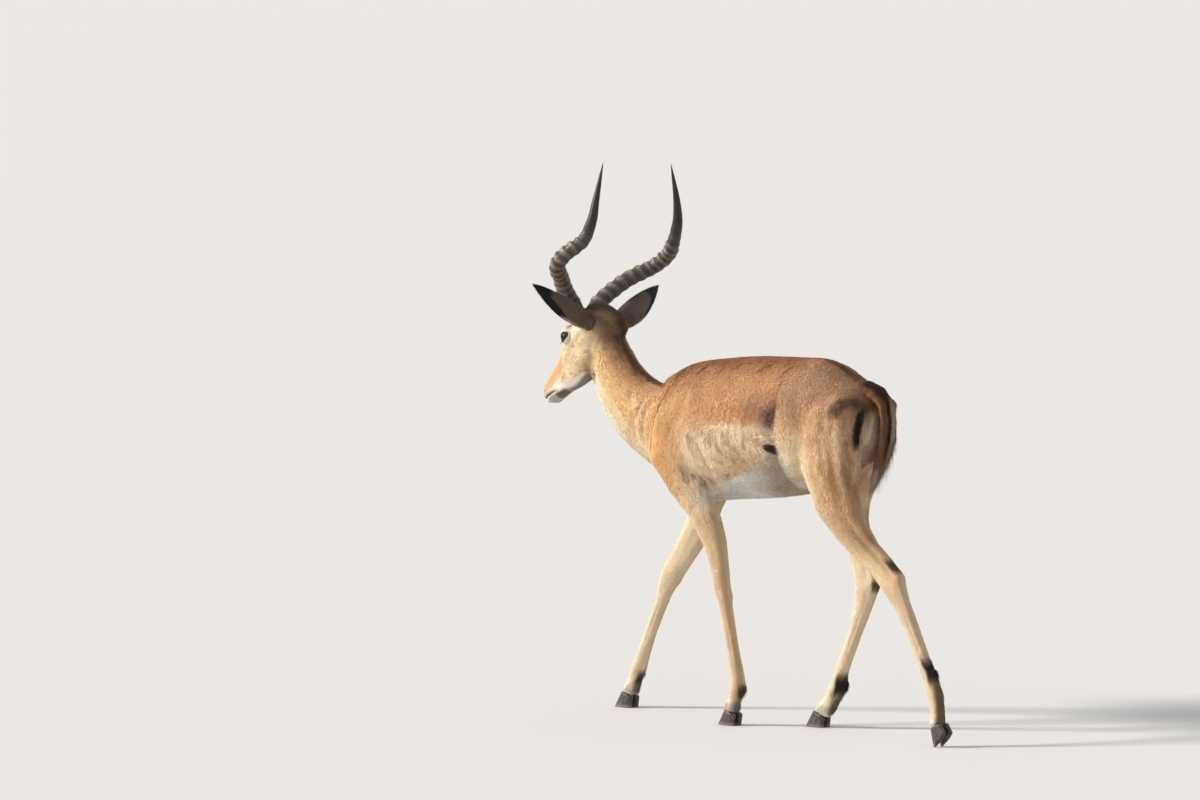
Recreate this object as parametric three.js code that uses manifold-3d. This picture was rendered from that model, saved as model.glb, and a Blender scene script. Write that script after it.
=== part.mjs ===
// An impala ram in mid-stride, life size, in millimetres: +Z is up, its head points to -X and its left
// side to -Y. The body is modelled whole from lofted masses, joined, and parted by thin cuts.
import * as THREE from "three";
import { mergeVertices } from "three/addons/utils/BufferGeometryUtils.js";
import Module from "manifold-3d";

const wasm = await Module();
wasm.setup();

// ---------------------------------------------------------------- driving sizes
const CUT = 0.35; // width of the thin cuts between neighbouring parts
const SEAT = 0.6; // room round each piece that is set into the body
const COARSE = 0.8; // how far the body's facets may leave its smooth form, before it is parted
const FINEST = 0.25; // and after
const POLL = new THREE.Vector3(-584, 0, 1002); // top of the skull, where head and neck meet
const HEAD_PITCH = 44; // degrees that the face points below the horizon
const HEAD_LEAN = 3.2; // degrees that the left side of the head is held higher
const EYE = { along: 118, up: 15, out: 43, radius: 18 }; // in the head's own frame
const HORN = { radius: 18.5, ridges: 14, ridgeHeight: 1.6, ridged: 0.68, plainRings: 7, sides: 8 };
const EAR = {
  root: [-598, 44, 968],
  tip: [-631, 222, 1064],
  halfWidth: 31,
  bow: 7,
  wall: 5,
  rim: 2.4,
  stations: 9,
  arcs: 7,
};
const CLAW = { length: 60, width: 21, height: 42, heel: 28, sink: 5, levels: 3, sides: 12 };
const TUFT = [13, 10, 20]; // half sizes of the tuft or pad of hair behind each fetlock
const CLAW_SPREAD = 11.5; // from a foot's middle to the middle of each claw

// ---------------------------------------------------------------- general shapes
const lerp = THREE.MathUtils.lerp;
const rad = THREE.MathUtils.degToRad;

// A smooth value between the rows of a table: Catmull-Rom over every column, t from 0 to rows.length - 1.
function smoothRow(rows, t) {
  const i = Math.min(Math.floor(t), rows.length - 2);
  const f = t - i;
  const at = (k) => rows[Math.min(Math.max(k, 0), rows.length - 1)];
  return at(i).map((value, column) => {
    const before = at(i - 1)[column] ?? value;
    const next = at(i + 1)[column];
    const after = at(i + 2)[column];
    const tangent = (next - before) / 2;
    const nextTangent = (after - value) / 2;
    const f2 = f * f;
    const f3 = f2 * f;
    return (
      value * (2 * f3 - 3 * f2 + 1) +
      tangent * (f3 - 2 * f2 + f) +
      next * (3 * f2 - 2 * f3) +
      nextTangent * (f3 - f2)
    );
  });
}

// Rings of points, each ring with the same count, closed at both ends by a fan round the ring's middle.
function skinRings(rings) {
  const sides = rings[0].length;
  const points = rings.flat();
  const faces = [];
  for (let i = 0; i + 1 < rings.length; i++) {
    for (let j = 0; j < sides; j++) {
      const a = i * sides + j;
      const b = i * sides + ((j + 1) % sides);
      faces.push(a, b, a + sides, b, b + sides, a + sides);
    }
  }
  for (const [ring, flip] of [
    [0, true],
    [rings.length - 1, false],
  ]) {
    const middle = new THREE.Vector3();
    rings[ring].forEach((p) => middle.addScaledVector(p, 1 / sides));
    points.push(middle);
    const hub = points.length - 1;
    for (let j = 0; j < sides; j++) {
      const a = ring * sides + j;
      const b = ring * sides + ((j + 1) % sides);
      faces.push(...(flip ? [hub, b, a] : [hub, a, b]));
    }
  }
  const geometry = new THREE.BufferGeometry().setFromPoints(points);
  geometry.setIndex(faces);
  return geometry;
}

// A closed geometry as a solid that can be joined and cut.
function solid(geometry) {
  const plain = geometry.clone();
  plain.deleteAttribute("normal");
  plain.deleteAttribute("uv");
  const merged = mergeVertices(plain, 1e-4);
  const vertProperties = new Float32Array(merged.attributes.position.array);
  const build = (triVerts) => new wasm.Manifold(new wasm.Mesh({ numProp: 3, vertProperties, triVerts }));
  const index = new Uint32Array(merged.index.array);
  const made = build(index);
  if (made.volume() > 0) return made;
  // a mirrored shape came in inside out: swap the first and last corner of every triangle
  return build(index.map((_, i) => index[i + 2 - 2 * (i % 3)]));
}

function geometryOf(manifold) {
  const mesh = manifold.getMesh();
  const geometry = new THREE.BufferGeometry();
  const stride = mesh.numProp;
  const position = new Float32Array(mesh.numVert * 3);
  for (let i = 0; i < mesh.numVert; i++)
    position.set(mesh.vertProperties.subarray(i * stride, i * stride + 3), i * 3);
  geometry.setAttribute("position", new THREE.BufferAttribute(position, 3));
  geometry.setIndex(new THREE.BufferAttribute(mesh.triVerts, 1));
  return geometry;
}

// A loft through rows of [x, y, z, plus, minus, half, square]. Each section stands square to the path:
// half is its half width along Y, plus its reach towards (path x Y), minus its reach the other way, and
// square is 2 for an ellipse and more for a boxier section. Both ends are domed.
function loft(rows, { sides = 16, perRow = 2, swell = 0, dome = 0.8, place = null } = {}) {
  const across = new THREE.Vector3(0, 1, 0);
  const count = (rows.length - 1) * perRow;
  const sections = [];
  for (let i = 0; i <= count; i++) sections.push(smoothRow(rows, i / perRow));
  const middle = (row) => new THREE.Vector3(row[0], row[1], row[2]);
  const rings = [];
  const ring = (row, direction, shift, scale) => {
    const side = across
      .clone()
      .addScaledVector(direction, -across.dot(direction))
      .normalize();
    const up = direction.clone().cross(side);
    const power = 2 / row[6];
    const bend = (v) => Math.sign(v) * Math.abs(v) ** power;
    const points = [];
    for (let j = 0; j < sides; j++) {
      const angle = ((j + 0.5) / sides) * 2 * Math.PI;
      const c = bend(Math.cos(angle));
      const s = bend(Math.sin(angle));
      const reach = (s > 0 ? row[3] : row[4]) + swell;
      points.push(
        middle(row)
          .addScaledVector(direction, shift)
          .addScaledVector(side, c * (row[5] + swell) * scale)
          .addScaledVector(up, s * reach * scale),
      );
    }
    rings.push(points);
  };
  sections.forEach((row, i) => {
    const before = middle(sections[Math.max(i - 1, 0)]);
    const after = middle(sections[Math.min(i + 1, count)]);
    const direction = after.sub(before).normalize();
    const round = Math.min(row[3], row[4], row[5]) * dome + swell;
    const capRing = (a, end) => ring(row, direction, end * round * Math.sin(rad(a)), Math.cos(rad(a)));
    if (i === 0) [75, 40].forEach((a) => capRing(a, -1));
    ring(row, direction, 0, 1);
    if (i === count) [40, 75].forEach((a) => capRing(a, 1));
  });
  const geometry = skinRings(rings);
  if (place) geometry.applyMatrix4(place);
  return solid(geometry);
}

// An ellipsoid with its own half sizes, turned by degrees about Z, Y and X in that order, then placed.
function ellipsoid(at, half, turn = [0, 0, 0], place = null, detail = [9, 6]) {
  const geometry = new THREE.SphereGeometry(1, ...detail);
  geometry.rotateX(Math.PI / 2);
  geometry.scale(...half);
  geometry.rotateX(rad(turn[2]));
  geometry.rotateY(rad(turn[1]));
  geometry.rotateZ(rad(turn[0]));
  geometry.translate(...at);
  if (place) geometry.applyMatrix4(place);
  return solid(geometry);
}

function box(low, high, place = null) {
  const size = high.map((v, i) => v - low[i]);
  const geometry = new THREE.BoxGeometry(...size);
  geometry.translate(...low.map((v, i) => v + size[i] / 2));
  if (place) geometry.applyMatrix4(place);
  return solid(geometry);
}

const joined = (solids) => solids.reduce((a, b) => a.add(b));

// All that lies beyond a plane, as a large block: at is a point on the plane, normal points into the block.
function beyond(at, normal, reach = 900) {
  const turn = new THREE.Quaternion().setFromUnitVectors(
    new THREE.Vector3(0, 0, 1),
    new THREE.Vector3(...normal).normalize(),
  );
  const place = new THREE.Matrix4().compose(
    new THREE.Vector3(...at),
    turn,
    new THREE.Vector3(1, 1, 1),
  );
  return box([-reach, -reach, 0], [reach, reach, 2 * reach], place);
}

// ---------------------------------------------------------------- trunk and neck
function trunkMass() {
  // x, y, height of the widest line, up from it, down from it, half width, roundness
  return loft(
    [
      [-398, 0, 668, 44, 46, 44, 2],
      [-376, 0, 674, 96, 94, 72, 2],
      [-326, 0, 686, 170, 136, 94, 2],
      [-250, 0, 694, 198, 150, 106, 1.95],
      [-150, 0, 702, 206, 150, 116, 2],
      [-40, 0, 708, 211, 146, 122, 2.05],
      [60, 0, 718, 206, 144, 119, 2.1],
      [145, 0, 736, 194, 143, 109, 2.15],
      [215, 0, 758, 172, 134, 100, 2.15],
      [275, 0, 768, 124, 118, 90, 2.1],
      [318, 0, 770, 92, 98, 74, 2],
      [336, 0, 772, 62, 72, 52, 2],
    ],
    { sides: 22, perRow: 2, dome: 0.5 },
  );
}

function neckMass() {
  // plus is towards the throat, minus towards the nape
  return loft(
    [
      [-300, 0, 720, 146, 116, 78, 2],
      [-372, 0, 734, 122, 96, 76, 2],
      [-446, 0, 762, 108, 80, 70, 2],
      [-506, 0, 804, 96, 67, 61, 2],
      [-552, 0, 852, 78, 60, 55, 2],
      [-588, 0, 902, 66, 60, 50, 2],
      [-612, 0, 944, 58, 48, 48, 2],
    ],
    { sides: 16, perRow: 2 },
  );
}

// ---------------------------------------------------------------- legs
// Each leg is a muscle mass and a shank down to the coronet, which overlap. Their rows hold x, y, z,
// reach to the rear, reach to the front, half width and roundness.
const LEGS = {
  left_fore: {
    mass: [
      [-208, -42, 846, 30, 34, 15, 2],
      [-226, -62, 800, 52, 52, 30, 2],
      [-262, -72, 730, 74, 76, 40, 2],
      [-270, -76, 662, 84, 82, 42, 2],
      [-232, -79, 600, 66, 58, 38, 2],
      [-188, -79, 545, 50, 42, 33, 2],
    ],
    shank: [
      [-214, -79, 585, 54, 46, 34, 2],
      [-167, -78, 515, 46, 38, 30, 2.1],
      [-134, -75, 450, 32, 32, 25, 2.2],
      [-120, -73, 390, 25, 25, 21.5, 2.2],
      [-114, -71, 350, 21, 23, 20.5, 2.3],
      [-106, -70, 314, 18, 18, 17.5, 2.3],
      [-94, -67, 245, 17, 16, 15.5, 2.3],
      [-80, -66, 180, 17, 15, 15, 2.2],
      [-69, -65, 130, 20, 16, 17, 2.1],
      [-67, -64, 98, 26, 18, 19, 2],
      [-79, -63, 66, 17, 16, 17.5, 2],
      [-88, -63, 42, 20, 20, 21, 2.1],
    ],
    tuft: [-53, -64, 93],
    hoof: { at: [-94, -62, 0], turn: -2, lift: 0 },
  },
  right_fore: {
    mass: [
      [-222, 42, 846, 30, 34, 15, 2],
      [-248, 62, 800, 52, 52, 30, 2],
      [-282, 72, 730, 76, 72, 40, 2],
      [-290, 76, 662, 82, 74, 42, 2],
      [-286, 79, 600, 64, 56, 38, 2],
      [-302, 77, 545, 48, 42, 33, 2],
    ],
    shank: [
      [-289, 78, 585, 52, 46, 34, 2],
      [-318, 77, 515, 45, 39, 30, 2.1],
      [-354, 74, 448, 40, 35, 26, 2.2],
      [-397, 71, 388, 35, 33, 23, 2.2],
      [-431, 69, 342, 30, 28, 22, 2.3],
      [-450, 67, 300, 21, 20, 18, 2.3],
      [-475, 65, 244, 17, 15, 15.5, 2.3],
      [-502, 64, 186, 17, 15, 15, 2.2],
      [-524, 63, 136, 20, 16, 17, 2.1],
      [-538, 62, 106, 25, 18, 19, 2],
      [-552, 61, 72, 20, 16, 17.5, 2],
      [-565, 61, 44, 22, 20, 21, 2.1],
    ],
    tuft: [-525, 61, 100],
    hoof: { at: [-576, 60, 0], turn: 2, lift: 0 },
  },
  left_hind: {
    mass: [
      [240, -40, 838, 44, 58, 22, 2],
      [268, -64, 806, 70, 100, 44, 2],
      [272, -72, 730, 78, 112, 50, 2],
      [268, -76, 655, 90, 96, 47, 2],
      [282, -78, 585, 78, 74, 38, 2],
      [330, -77, 520, 50, 50, 30, 2.1],
      [392, -75, 460, 36, 36, 22, 2.2],
    ],
    shank: [
      [318, -77, 530, 52, 52, 31, 2],
      [378, -75, 468, 39, 37, 23, 2.2],
      [430, -73, 424, 43, 30, 19, 2.3],
      [466, -71, 384, 46, 28, 20, 2.3],
      [494, -69, 346, 26, 23, 18.5, 2.3],
      [530, -67, 284, 19, 18, 16, 2.3],
      [563, -65, 215, 19, 16, 15.5, 2.3],
      [590, -64, 158, 21, 16, 16.5, 2.2],
      [604, -63, 124, 24, 19, 19.5, 2],
      [612, -62, 88, 18, 18, 18, 2],
      [611, -62, 56, 20, 19, 21, 2.1],
    ],
    tuft: [602, -65, 172],
    hoof: { at: [643, -62, 0], turn: -3, lift: 46 },
  },
  right_hind: {
    mass: [
      [240, 40, 838, 44, 58, 22, 2],
      [266, 64, 806, 72, 100, 44, 2],
      [256, 72, 730, 72, 104, 50, 2],
      [222, 76, 655, 62, 88, 47, 2],
      [182, 78, 588, 66, 64, 38, 2],
      [186, 77, 520, 54, 42, 30, 2.1],
      [208, 74, 456, 44, 32, 23, 2.2],
    ],
    shank: [
      [184, 77, 534, 56, 46, 31, 2],
      [206, 75, 464, 44, 32, 23, 2.2],
      [226, 72, 412, 44, 27, 19, 2.3],
      [240, 71, 362, 50, 29, 21, 2.3],
      [234, 70, 310, 27, 25, 19, 2.3],
      [213, 67, 250, 19, 18, 16, 2.3],
      [184, 65, 184, 19, 17, 15.5, 2.3],
      [163, 64, 138, 21, 17, 16.5, 2.2],
      [152, 63, 106, 30, 19, 19.5, 2],
      [130, 62, 70, 27, 18, 18, 2],
      [106, 62, 42, 27, 21, 21, 2.1],
    ],
    tuft: [176, 64, 110],
    hoof: { at: [90, 62, 0], turn: 3, lift: 0 },
  },
};

const legMass = (leg) =>
  loft(leg.mass, { sides: 14, perRow: 1 })
    .add(loft(leg.shank, { sides: 10, perRow: 1, dome: 0.2 }))
    .add(ellipsoid(leg.tuft, TUFT, [0, 0, 0], null, [8, 6]));

// ---------------------------------------------------------------- head
// Leaning the head about its poll, left side up.
const headLean = new THREE.Matrix4()
  .makeTranslation(POLL)
  .multiply(new THREE.Matrix4().makeRotationX(-rad(HEAD_LEAN)))
  .multiply(new THREE.Matrix4().makeTranslation(POLL.clone().negate()));

// The head's own frame: +X along the face from poll to nose, +Z out of the forehead, +Y to its right.
const headPlace = headLean
  .clone()
  .multiply(new THREE.Matrix4().makeTranslation(POLL))
  .multiply(new THREE.Matrix4().makeRotationY(-rad(HEAD_PITCH)))
  .multiply(new THREE.Matrix4().makeScale(-1, 1, 1));

function headMass() {
  // along the face, y, height of the widest line, up to the profile, down to the jaw, half width, roundness
  const skull = loft(
    [
      [4, 0, -46, 44, 36, 36, 2],
      [24, 0, -36, 62, 48, 48, 2],
      [52, 0, -20, 72, 66, 53, 2.1],
      [82, 0, -10, 70, 82, 54, 2.1],
      [112, 0, -6, 54, 92, 53, 2.05],
      [146, 0, -12, 46, 87, 46, 2.1],
      [176, 0, -18, 39, 74, 36, 2.2],
      [206, 0, -22, 34, 61, 29, 2.3],
      [238, 0, -26, 35, 43, 26, 2.4],
      [266, 0, -28, 32, 35, 25.5, 2.3],
      [288, 0, -30, 25, 27, 22, 2.1],
      [300, 0, -31, 14, 16, 15, 2],
    ],
    { sides: 16, perRow: 1, place: headPlace },
  );
  const masses = [skull];
  for (const side of [-1, 1]) {
    // brow over the eye, cheek, root of the ear and the pad round the nostril
    masses.push(
      ellipsoid([116, side * 41, 20], [31, 18, 21], [side * 12, 6, 0], headPlace),
      ellipsoid([110, side * 34, -52], [46, 19, 38], [0, 24, 0], headPlace),
      ellipsoid([36, side * 44, 4], [26, 19, 25], [0, 0, 0], headPlace),
      ellipsoid([281, side * 13.5, -20], [17, 12, 14], [side * -14, 0, 0], headPlace),
    );
  }
  return joined(masses);
}

const eyeSolid = (side, swell = 0) =>
  ellipsoid(
    [EYE.along, side * EYE.out, EYE.up],
    [EYE.radius + swell, EYE.radius + swell, EYE.radius + swell],
    [0, 0, 0],
    headPlace,
    [14, 8],
  );

// ---------------------------------------------------------------- horns
// The right horn's middle line, from a root in the skull, out, back and up to the tip.
const HORN_LINE = [
  [-667, 23, 984],
  [-665, 50, 1020],
  [-656, 84, 1050],
  [-634, 122, 1082],
  [-598, 172, 1115],
  [-560, 181, 1145],
  [-522, 160, 1180],
  [-503, 152, 1230],
  [-500, 144, 1280],
  [-503, 120, 1377],
];

function hornSolid(side, swell = 0) {
  const line = new THREE.CatmullRomCurve3(HORN_LINE.map(([x, y, z]) => new THREE.Vector3(x, side * y, z)));
  const steps = 200;
  const frames = line.computeFrenetFrames(steps, false);
  const { smoothstep } = THREE.MathUtils;
  // two rings to each ridge, on its crest and in the groove after it, then the smooth tip
  const ridgeRings = 2 * HORN.ridges;
  const stops = [];
  for (let i = 0; i < ridgeRings; i++) stops.push((i / ridgeRings) * HORN.ridged);
  for (let i = 0; i <= HORN.plainRings; i++) stops.push(lerp(HORN.ridged, 1, i / HORN.plainRings));
  const rings = stops.map((t, i) => {
    const k = Math.round(t * steps);
    const middle = line.getPointAt(t);
    if (i === 0) middle.addScaledVector(frames.tangents[0], -swell);
    const taper = t < 0.5 ? lerp(1, 0.82, 2 * t) : 0.82 * (2 - 2 * t) ** 0.85 + 0.03;
    const strength = smoothstep(t, 0.08, 0.12) * smoothstep(HORN.ridged - t, 0, 0.12);
    const ridge = i < ridgeRings && i % 2 === 0 ? 1 : -1;
    const radius = HORN.radius * taper + HORN.ridgeHeight * strength * ridge + swell;
    const points = [];
    for (let j = 0; j < HORN.sides; j++) {
      const a = (j / HORN.sides) * 2 * Math.PI;
      points.push(
        middle
          .clone()
          .addScaledVector(frames.normals[k], Math.cos(a) * radius)
          .addScaledVector(frames.binormals[k], Math.sin(a) * radius),
      );
    }
    return points;
  });
  const geometry = skinRings(rings);
  geometry.applyMatrix4(headLean);
  return solid(geometry);
}

// ---------------------------------------------------------------- ears
// A cupped leaf: along its length the wall is an arc of a tube, open to the front and a little downwards.
function earSolid(side, swell = 0) {
  const root = new THREE.Vector3(EAR.root[0], side * EAR.root[1], EAR.root[2]);
  const tip = new THREE.Vector3(EAR.tip[0], side * EAR.tip[1], EAR.tip[2]);
  const length = root.distanceTo(tip);
  const along = tip.clone().sub(root).normalize();
  const facing = new THREE.Vector3(-0.9, side * 0.1, -0.25);
  facing.addScaledVector(along, -facing.dot(along)).normalize();
  const across = along.clone().cross(facing).multiplyScalar(-side); // towards the lower edge
  const rings = [];
  for (let i = 0; i <= EAR.stations; i++) {
    const t = i / EAR.stations;
    const half = EAR.halfWidth * Math.sin(Math.PI * (0.2 + 0.8 * t)) ** 0.8 + 1.5;
    const opening = rad(lerp(88, 48, Math.min(1, t * 1.4))); // half the arc's angle
    const radius = half / Math.sin(opening);
    const inside = Math.max(radius - lerp(EAR.wall, EAR.rim, t) - swell, 0.6);
    const reach = opening + swell / inside;
    const middle = root
      .clone()
      .addScaledVector(along, t * length + (2 * t - 1) * swell)
      .addScaledVector(across, EAR.bow * Math.sin(Math.PI * t))
      .addScaledVector(facing, radius * Math.cos(opening));
    const arc = (r) => (k) => {
      const a = lerp(-reach, reach, k / (EAR.arcs - 1));
      return middle
        .clone()
        .addScaledVector(across, Math.sin(a) * r)
        .addScaledVector(facing, -Math.cos(a) * r);
    };
    const steps = [...Array(EAR.arcs).keys()];
    rings.push([...steps.map(arc(radius + swell)), ...steps.reverse().map(arc(inside))]);
  }
  const geometry = skinRings(rings);
  geometry.applyMatrix4(headLean);
  return solid(geometry);
}

// ---------------------------------------------------------------- tail
function tailMass(swell) {
  return loft(
    [
      [304, 0, 858, 20, 26, 26, 2],
      [346, 0, 850, 18, 20, 25, 2],
      [374, 0, 826, 15, 14, 26, 2],
      [385, 0, 786, 13, 12, 28, 2],
      [383, 0, 742, 12, 12, 30, 2],
      [372, 0, 700, 11, 11, 28, 2],
      [352, 0, 656, 9, 9, 20, 2],
      [336, 0, 624, 5, 5, 9, 2],
    ],
    { sides: 10, perRow: 1, swell },
  );
}

// ---------------------------------------------------------------- hooves
// One claw of a cloven hoof: a long pointed wedge with a flat sole, its tip towards -X.
function clawSolid(foot, outward, swell = 0) {
  const { at, turn, lift } = foot;
  const rings = [];
  for (let i = 0; i <= CLAW.levels; i++) {
    const t = i / CLAW.levels; // 0 at the sole, 1 at the coronet
    const halfLength = lerp(CLAW.length, CLAW.length * 0.62, t) / 2;
    const halfWidth = CLAW.width / 2;
    const setback = lerp(0, 15, t) - 4; // the front wall slopes back as it rises
    const ring = [];
    for (let j = 0; j < CLAW.sides; j++) {
      const a = (j / CLAW.sides) * 2 * Math.PI;
      const c = Math.cos(a);
      const fullness = 0.81 + 0.19 * c; // narrow at the tip, full at the heel
      const z = t * (lerp(CLAW.height, CLAW.heel, (c + 1) / 2) + swell);
      ring.push(
        new THREE.Vector3(
          c * (halfLength + swell) + setback,
          Math.sin(a) * (halfWidth * fullness + swell) + outward * CLAW_SPREAD,
          z,
        ),
      );
    }
    rings.push(ring);
  }
  const geometry = skinRings(rings);
  // a lifted foot turns about the tip of its toe, which sinks a little to stand on a small flat
  const toe = CLAW.length / 2 + 4;
  geometry.translate(toe, 0, 0);
  geometry.rotateY(rad(-lift));
  geometry.translate(-toe, 0, lift ? -CLAW.sink : 0);
  geometry.rotateZ(rad(turn));
  geometry.translate(at[0], at[1], at[2]);
  return solid(geometry).subtract(box([-900, -300, -90], [900, 300, -swell]));
}

// ---------------------------------------------------------------- parting the body
// A side view outline, [x, z] points, as a block from one y to another.
function slab(outline, fromY, toY) {
  const shape = new THREE.Shape(outline.map(([x, z]) => new THREE.Vector2(x, z)));
  const geometry = new THREE.ExtrudeGeometry(shape, { depth: toY - fromY, bevelEnabled: false });
  geometry.rotateX(Math.PI / 2);
  geometry.translate(0, toY, 0);
  return solid(geometry);
}

// An outline moved inwards by a distance; its points run clockwise or the distance is negative.
function shrink(outline, distance) {
  const count = outline.length;
  return outline.map(([x, z], i) => {
    const [px, pz] = outline[(i + count - 1) % count];
    const [nx, nz] = outline[(i + 1) % count];
    const before = new THREE.Vector2(x - px, z - pz).normalize();
    const after = new THREE.Vector2(nx - x, nz - z).normalize();
    const inward = new THREE.Vector2(before.y + after.y, -before.x - after.x).normalize();
    const reach = distance / Math.max(0.4, Math.cos(before.angleTo(after) / 2));
    return [x + inward.x * reach, z + inward.y * reach];
  });
}

// Where each leg leaves the trunk, seen from the side: the shoulder or thigh, then all that is below.
const shoulderOutline = (shift) => [
  [30, -20],
  [-700, -20],
  [-700, 500],
  [-390 + shift, 545],
  [-378 + shift, 620],
  [-358 + shift, 700],
  [-318 + shift, 775],
  [-262 + shift, 832],
  [-218 + shift, 838],
  [-190 + shift, 790],
  [-172 + shift, 700],
  [-150 + shift, 620],
  [-118 + shift, 550],
  [-112 + shift, 500],
  [30, 480],
];
const thighOutline = [
  [700, -20],
  [-20, -20],
  [-20, 520],
  [150, 560],
  [142, 640],
  [150, 730],
  [186, 806],
  [240, 846],
  [300, 850],
  [420, 800],
  [700, 600],
];
const LEG_ZONES = {
  left_fore: { outline: shoulderOutline(-2), inner: -36, outer: -220 },
  right_fore: { outline: shoulderOutline(-30), inner: 36, outer: 220 },
  left_hind: { outline: thighOutline, inner: -26, outer: -220 },
  right_hind: { outline: thighOutline, inner: 26, outer: 220 },
};
function legZone({ outline, inner, outer }, gap) {
  const side = Math.sign(outer);
  const near = inner + side * gap;
  return slab(shrink(outline, gap), Math.min(near, outer), Math.max(near, outer));
}

// The planes that part head from neck and neck from trunk: a point and the way towards the head.
const THROAT = { at: [-575, 0, 925], normal: [-0.95, 0, 0.31] };
const COLLAR = { at: [-425, 0, 760], normal: [-0.87, 0, 0.5] };
const aheadOf = ({ at, normal }, gap = 0) => {
  const way = new THREE.Vector3(...normal).normalize();
  return beyond(new THREE.Vector3(...at).addScaledVector(way, gap).toArray(), normal);
};

// ---------------------------------------------------------------- assembly
const COLOURS = {
  coat: 0xb5753f,
  neck: 0xc98f55,
  legs: 0xc89a66,
  tail: 0x6b4a30,
  ear: 0x9c8672,
  horn: 0x3a3330,
  hoof: 0x2a2422,
  eye: 0x120c08,
};
const SIDES = { left: -1, right: 1 };
const group = new THREE.Group();
group.name = "impala";

function addNode(name, manifold, colour, roughness) {
  const material = new THREE.MeshStandardMaterial({ color: colour, roughness, metalness: 0 });
  const mesh = new THREE.Mesh(geometryOf(manifold), material);
  mesh.name = name;
  group.add(mesh);
}

// Pieces set into the body, each with the slightly larger solid that makes room for it.
const inserts = [];
for (const [word, side] of Object.entries(SIDES)) {
  const makers = {
    ["horn_" + word]: [(swell) => hornSolid(side, swell), COLOURS.horn, 0.5],
    ["ear_" + word]: [(swell) => earSolid(side, swell), COLOURS.ear, 0.9],
    ["eye_" + word]: [(swell) => eyeSolid(side, swell), COLOURS.eye, 0.15],
  };
  for (const [name, [make, colour, roughness]] of Object.entries(makers))
    inserts.push({ name, piece: make(0), room: make(SEAT), colour, roughness });
}
for (const [name, leg] of Object.entries(LEGS)) {
  for (const outward of [-1, 1]) {
    const place = outward * Math.sign(leg.hoof.at[1]) > 0 ? "_outer" : "_inner";
    inserts.push({
      name: "hoof_" + name + place,
      piece: clawSolid(leg.hoof, outward),
      room: clawSolid(leg.hoof, outward, SEAT),
      colour: COLOURS.hoof,
      roughness: 0.45,
    });
  }
}
inserts.push({
  name: "tail",
  piece: tailMass(0),
  room: tailMass(SEAT),
  colour: COLOURS.tail,
  roughness: 0.95,
});

const masses = [trunkMass(), neckMass(), headMass(), ...Object.values(LEGS).map(legMass)];
const floorBlock = box([-900, -300, -200], [900, 300, 1]);
let body = joined(masses).simplify(COARSE).subtract(floorBlock);
for (const insert of inserts) body = body.subtract(insert.room);

const addFlesh = (name, manifold, colour) => addNode(name, manifold.simplify(FINEST), colour, 0.9);
addFlesh("head", body.intersect(aheadOf(THROAT, CUT)), COLOURS.neck);
body = body.subtract(aheadOf(THROAT));
addFlesh("neck", body.intersect(aheadOf(COLLAR, CUT)), COLOURS.neck);
body = body.subtract(aheadOf(COLLAR));
for (const [name, zone] of Object.entries(LEG_ZONES)) {
  addFlesh("leg_" + name, body.intersect(legZone(zone, CUT)), COLOURS.legs);
  body = body.subtract(legZone(zone, 0));
}
addFlesh("trunk", body, COLOURS.coat);
for (const { name, piece, colour, roughness } of inserts) addNode(name, piece, colour, roughness);

// The origin is the middle of the whole model's footprint, on the floor.
const bounds = new THREE.Box3().setFromObject(group);
const centre = bounds.getCenter(new THREE.Vector3());
group.position.set(-centre.x, -centre.y, -bounds.min.z);

export default group;
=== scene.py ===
"""The looks of an impala ram in mid-stride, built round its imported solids.

One skin is grown from the solids of flesh and lies inside them by the coat's depth. It is shaped
with folds, lids, nostrils and tendons, then covered with thin tufts that follow the lie of the
coat. Markings are functions of place, and skin and coat read the same ones. Units are metres in
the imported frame: the head points to -X, the animal's left side to -Y, and the floor is at z = 0.
"""

import math

import bmesh
import bpy
import numpy as np
from mathutils import Matrix, Vector, kdtree


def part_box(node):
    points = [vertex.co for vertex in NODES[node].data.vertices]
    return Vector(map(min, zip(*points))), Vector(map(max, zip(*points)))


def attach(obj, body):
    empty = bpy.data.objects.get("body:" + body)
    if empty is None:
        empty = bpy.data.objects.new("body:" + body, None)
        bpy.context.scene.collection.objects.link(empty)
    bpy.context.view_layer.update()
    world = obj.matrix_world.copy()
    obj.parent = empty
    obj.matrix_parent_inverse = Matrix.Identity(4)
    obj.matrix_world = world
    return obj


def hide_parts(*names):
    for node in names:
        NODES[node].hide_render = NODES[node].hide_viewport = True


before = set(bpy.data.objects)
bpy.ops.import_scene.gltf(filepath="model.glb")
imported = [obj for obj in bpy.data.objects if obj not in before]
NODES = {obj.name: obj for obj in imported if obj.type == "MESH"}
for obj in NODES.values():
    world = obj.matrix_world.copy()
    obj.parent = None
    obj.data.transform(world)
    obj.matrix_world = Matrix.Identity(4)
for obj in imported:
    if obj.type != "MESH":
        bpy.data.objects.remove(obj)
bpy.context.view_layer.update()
rng = np.random.default_rng(7)

# ------------------------------------------------------------------------------ driving values
LEGS = ("left_fore", "right_fore", "left_hind", "right_hind")
FLESH = ("head", "neck", "trunk", "tail", *("leg_" + leg for leg in LEGS))
SIDES = {"left": -1, "right": 1}
VOXEL = 0.0024  # grid of the skin before it is thinned
SKIN_TRIANGLES = 185_000
HEAD_PITCH = math.radians(44)  # how far the face points below the horizon
EYE_ALONG, EYE_UP = 0.118, 0.015  # the eyes' place in the head's own frame
HOOF_TOP = 0.045  # up to this height the hooves stand in for the skin
COAT_TOP = 0.075  # from this height the skin lies at its full depth under the coat
SAME_PLACE = 1e-6  # points nearer to each other than this are one


def middle(node):
    low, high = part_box(node)
    return np.array((low + high) / 2)


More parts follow.
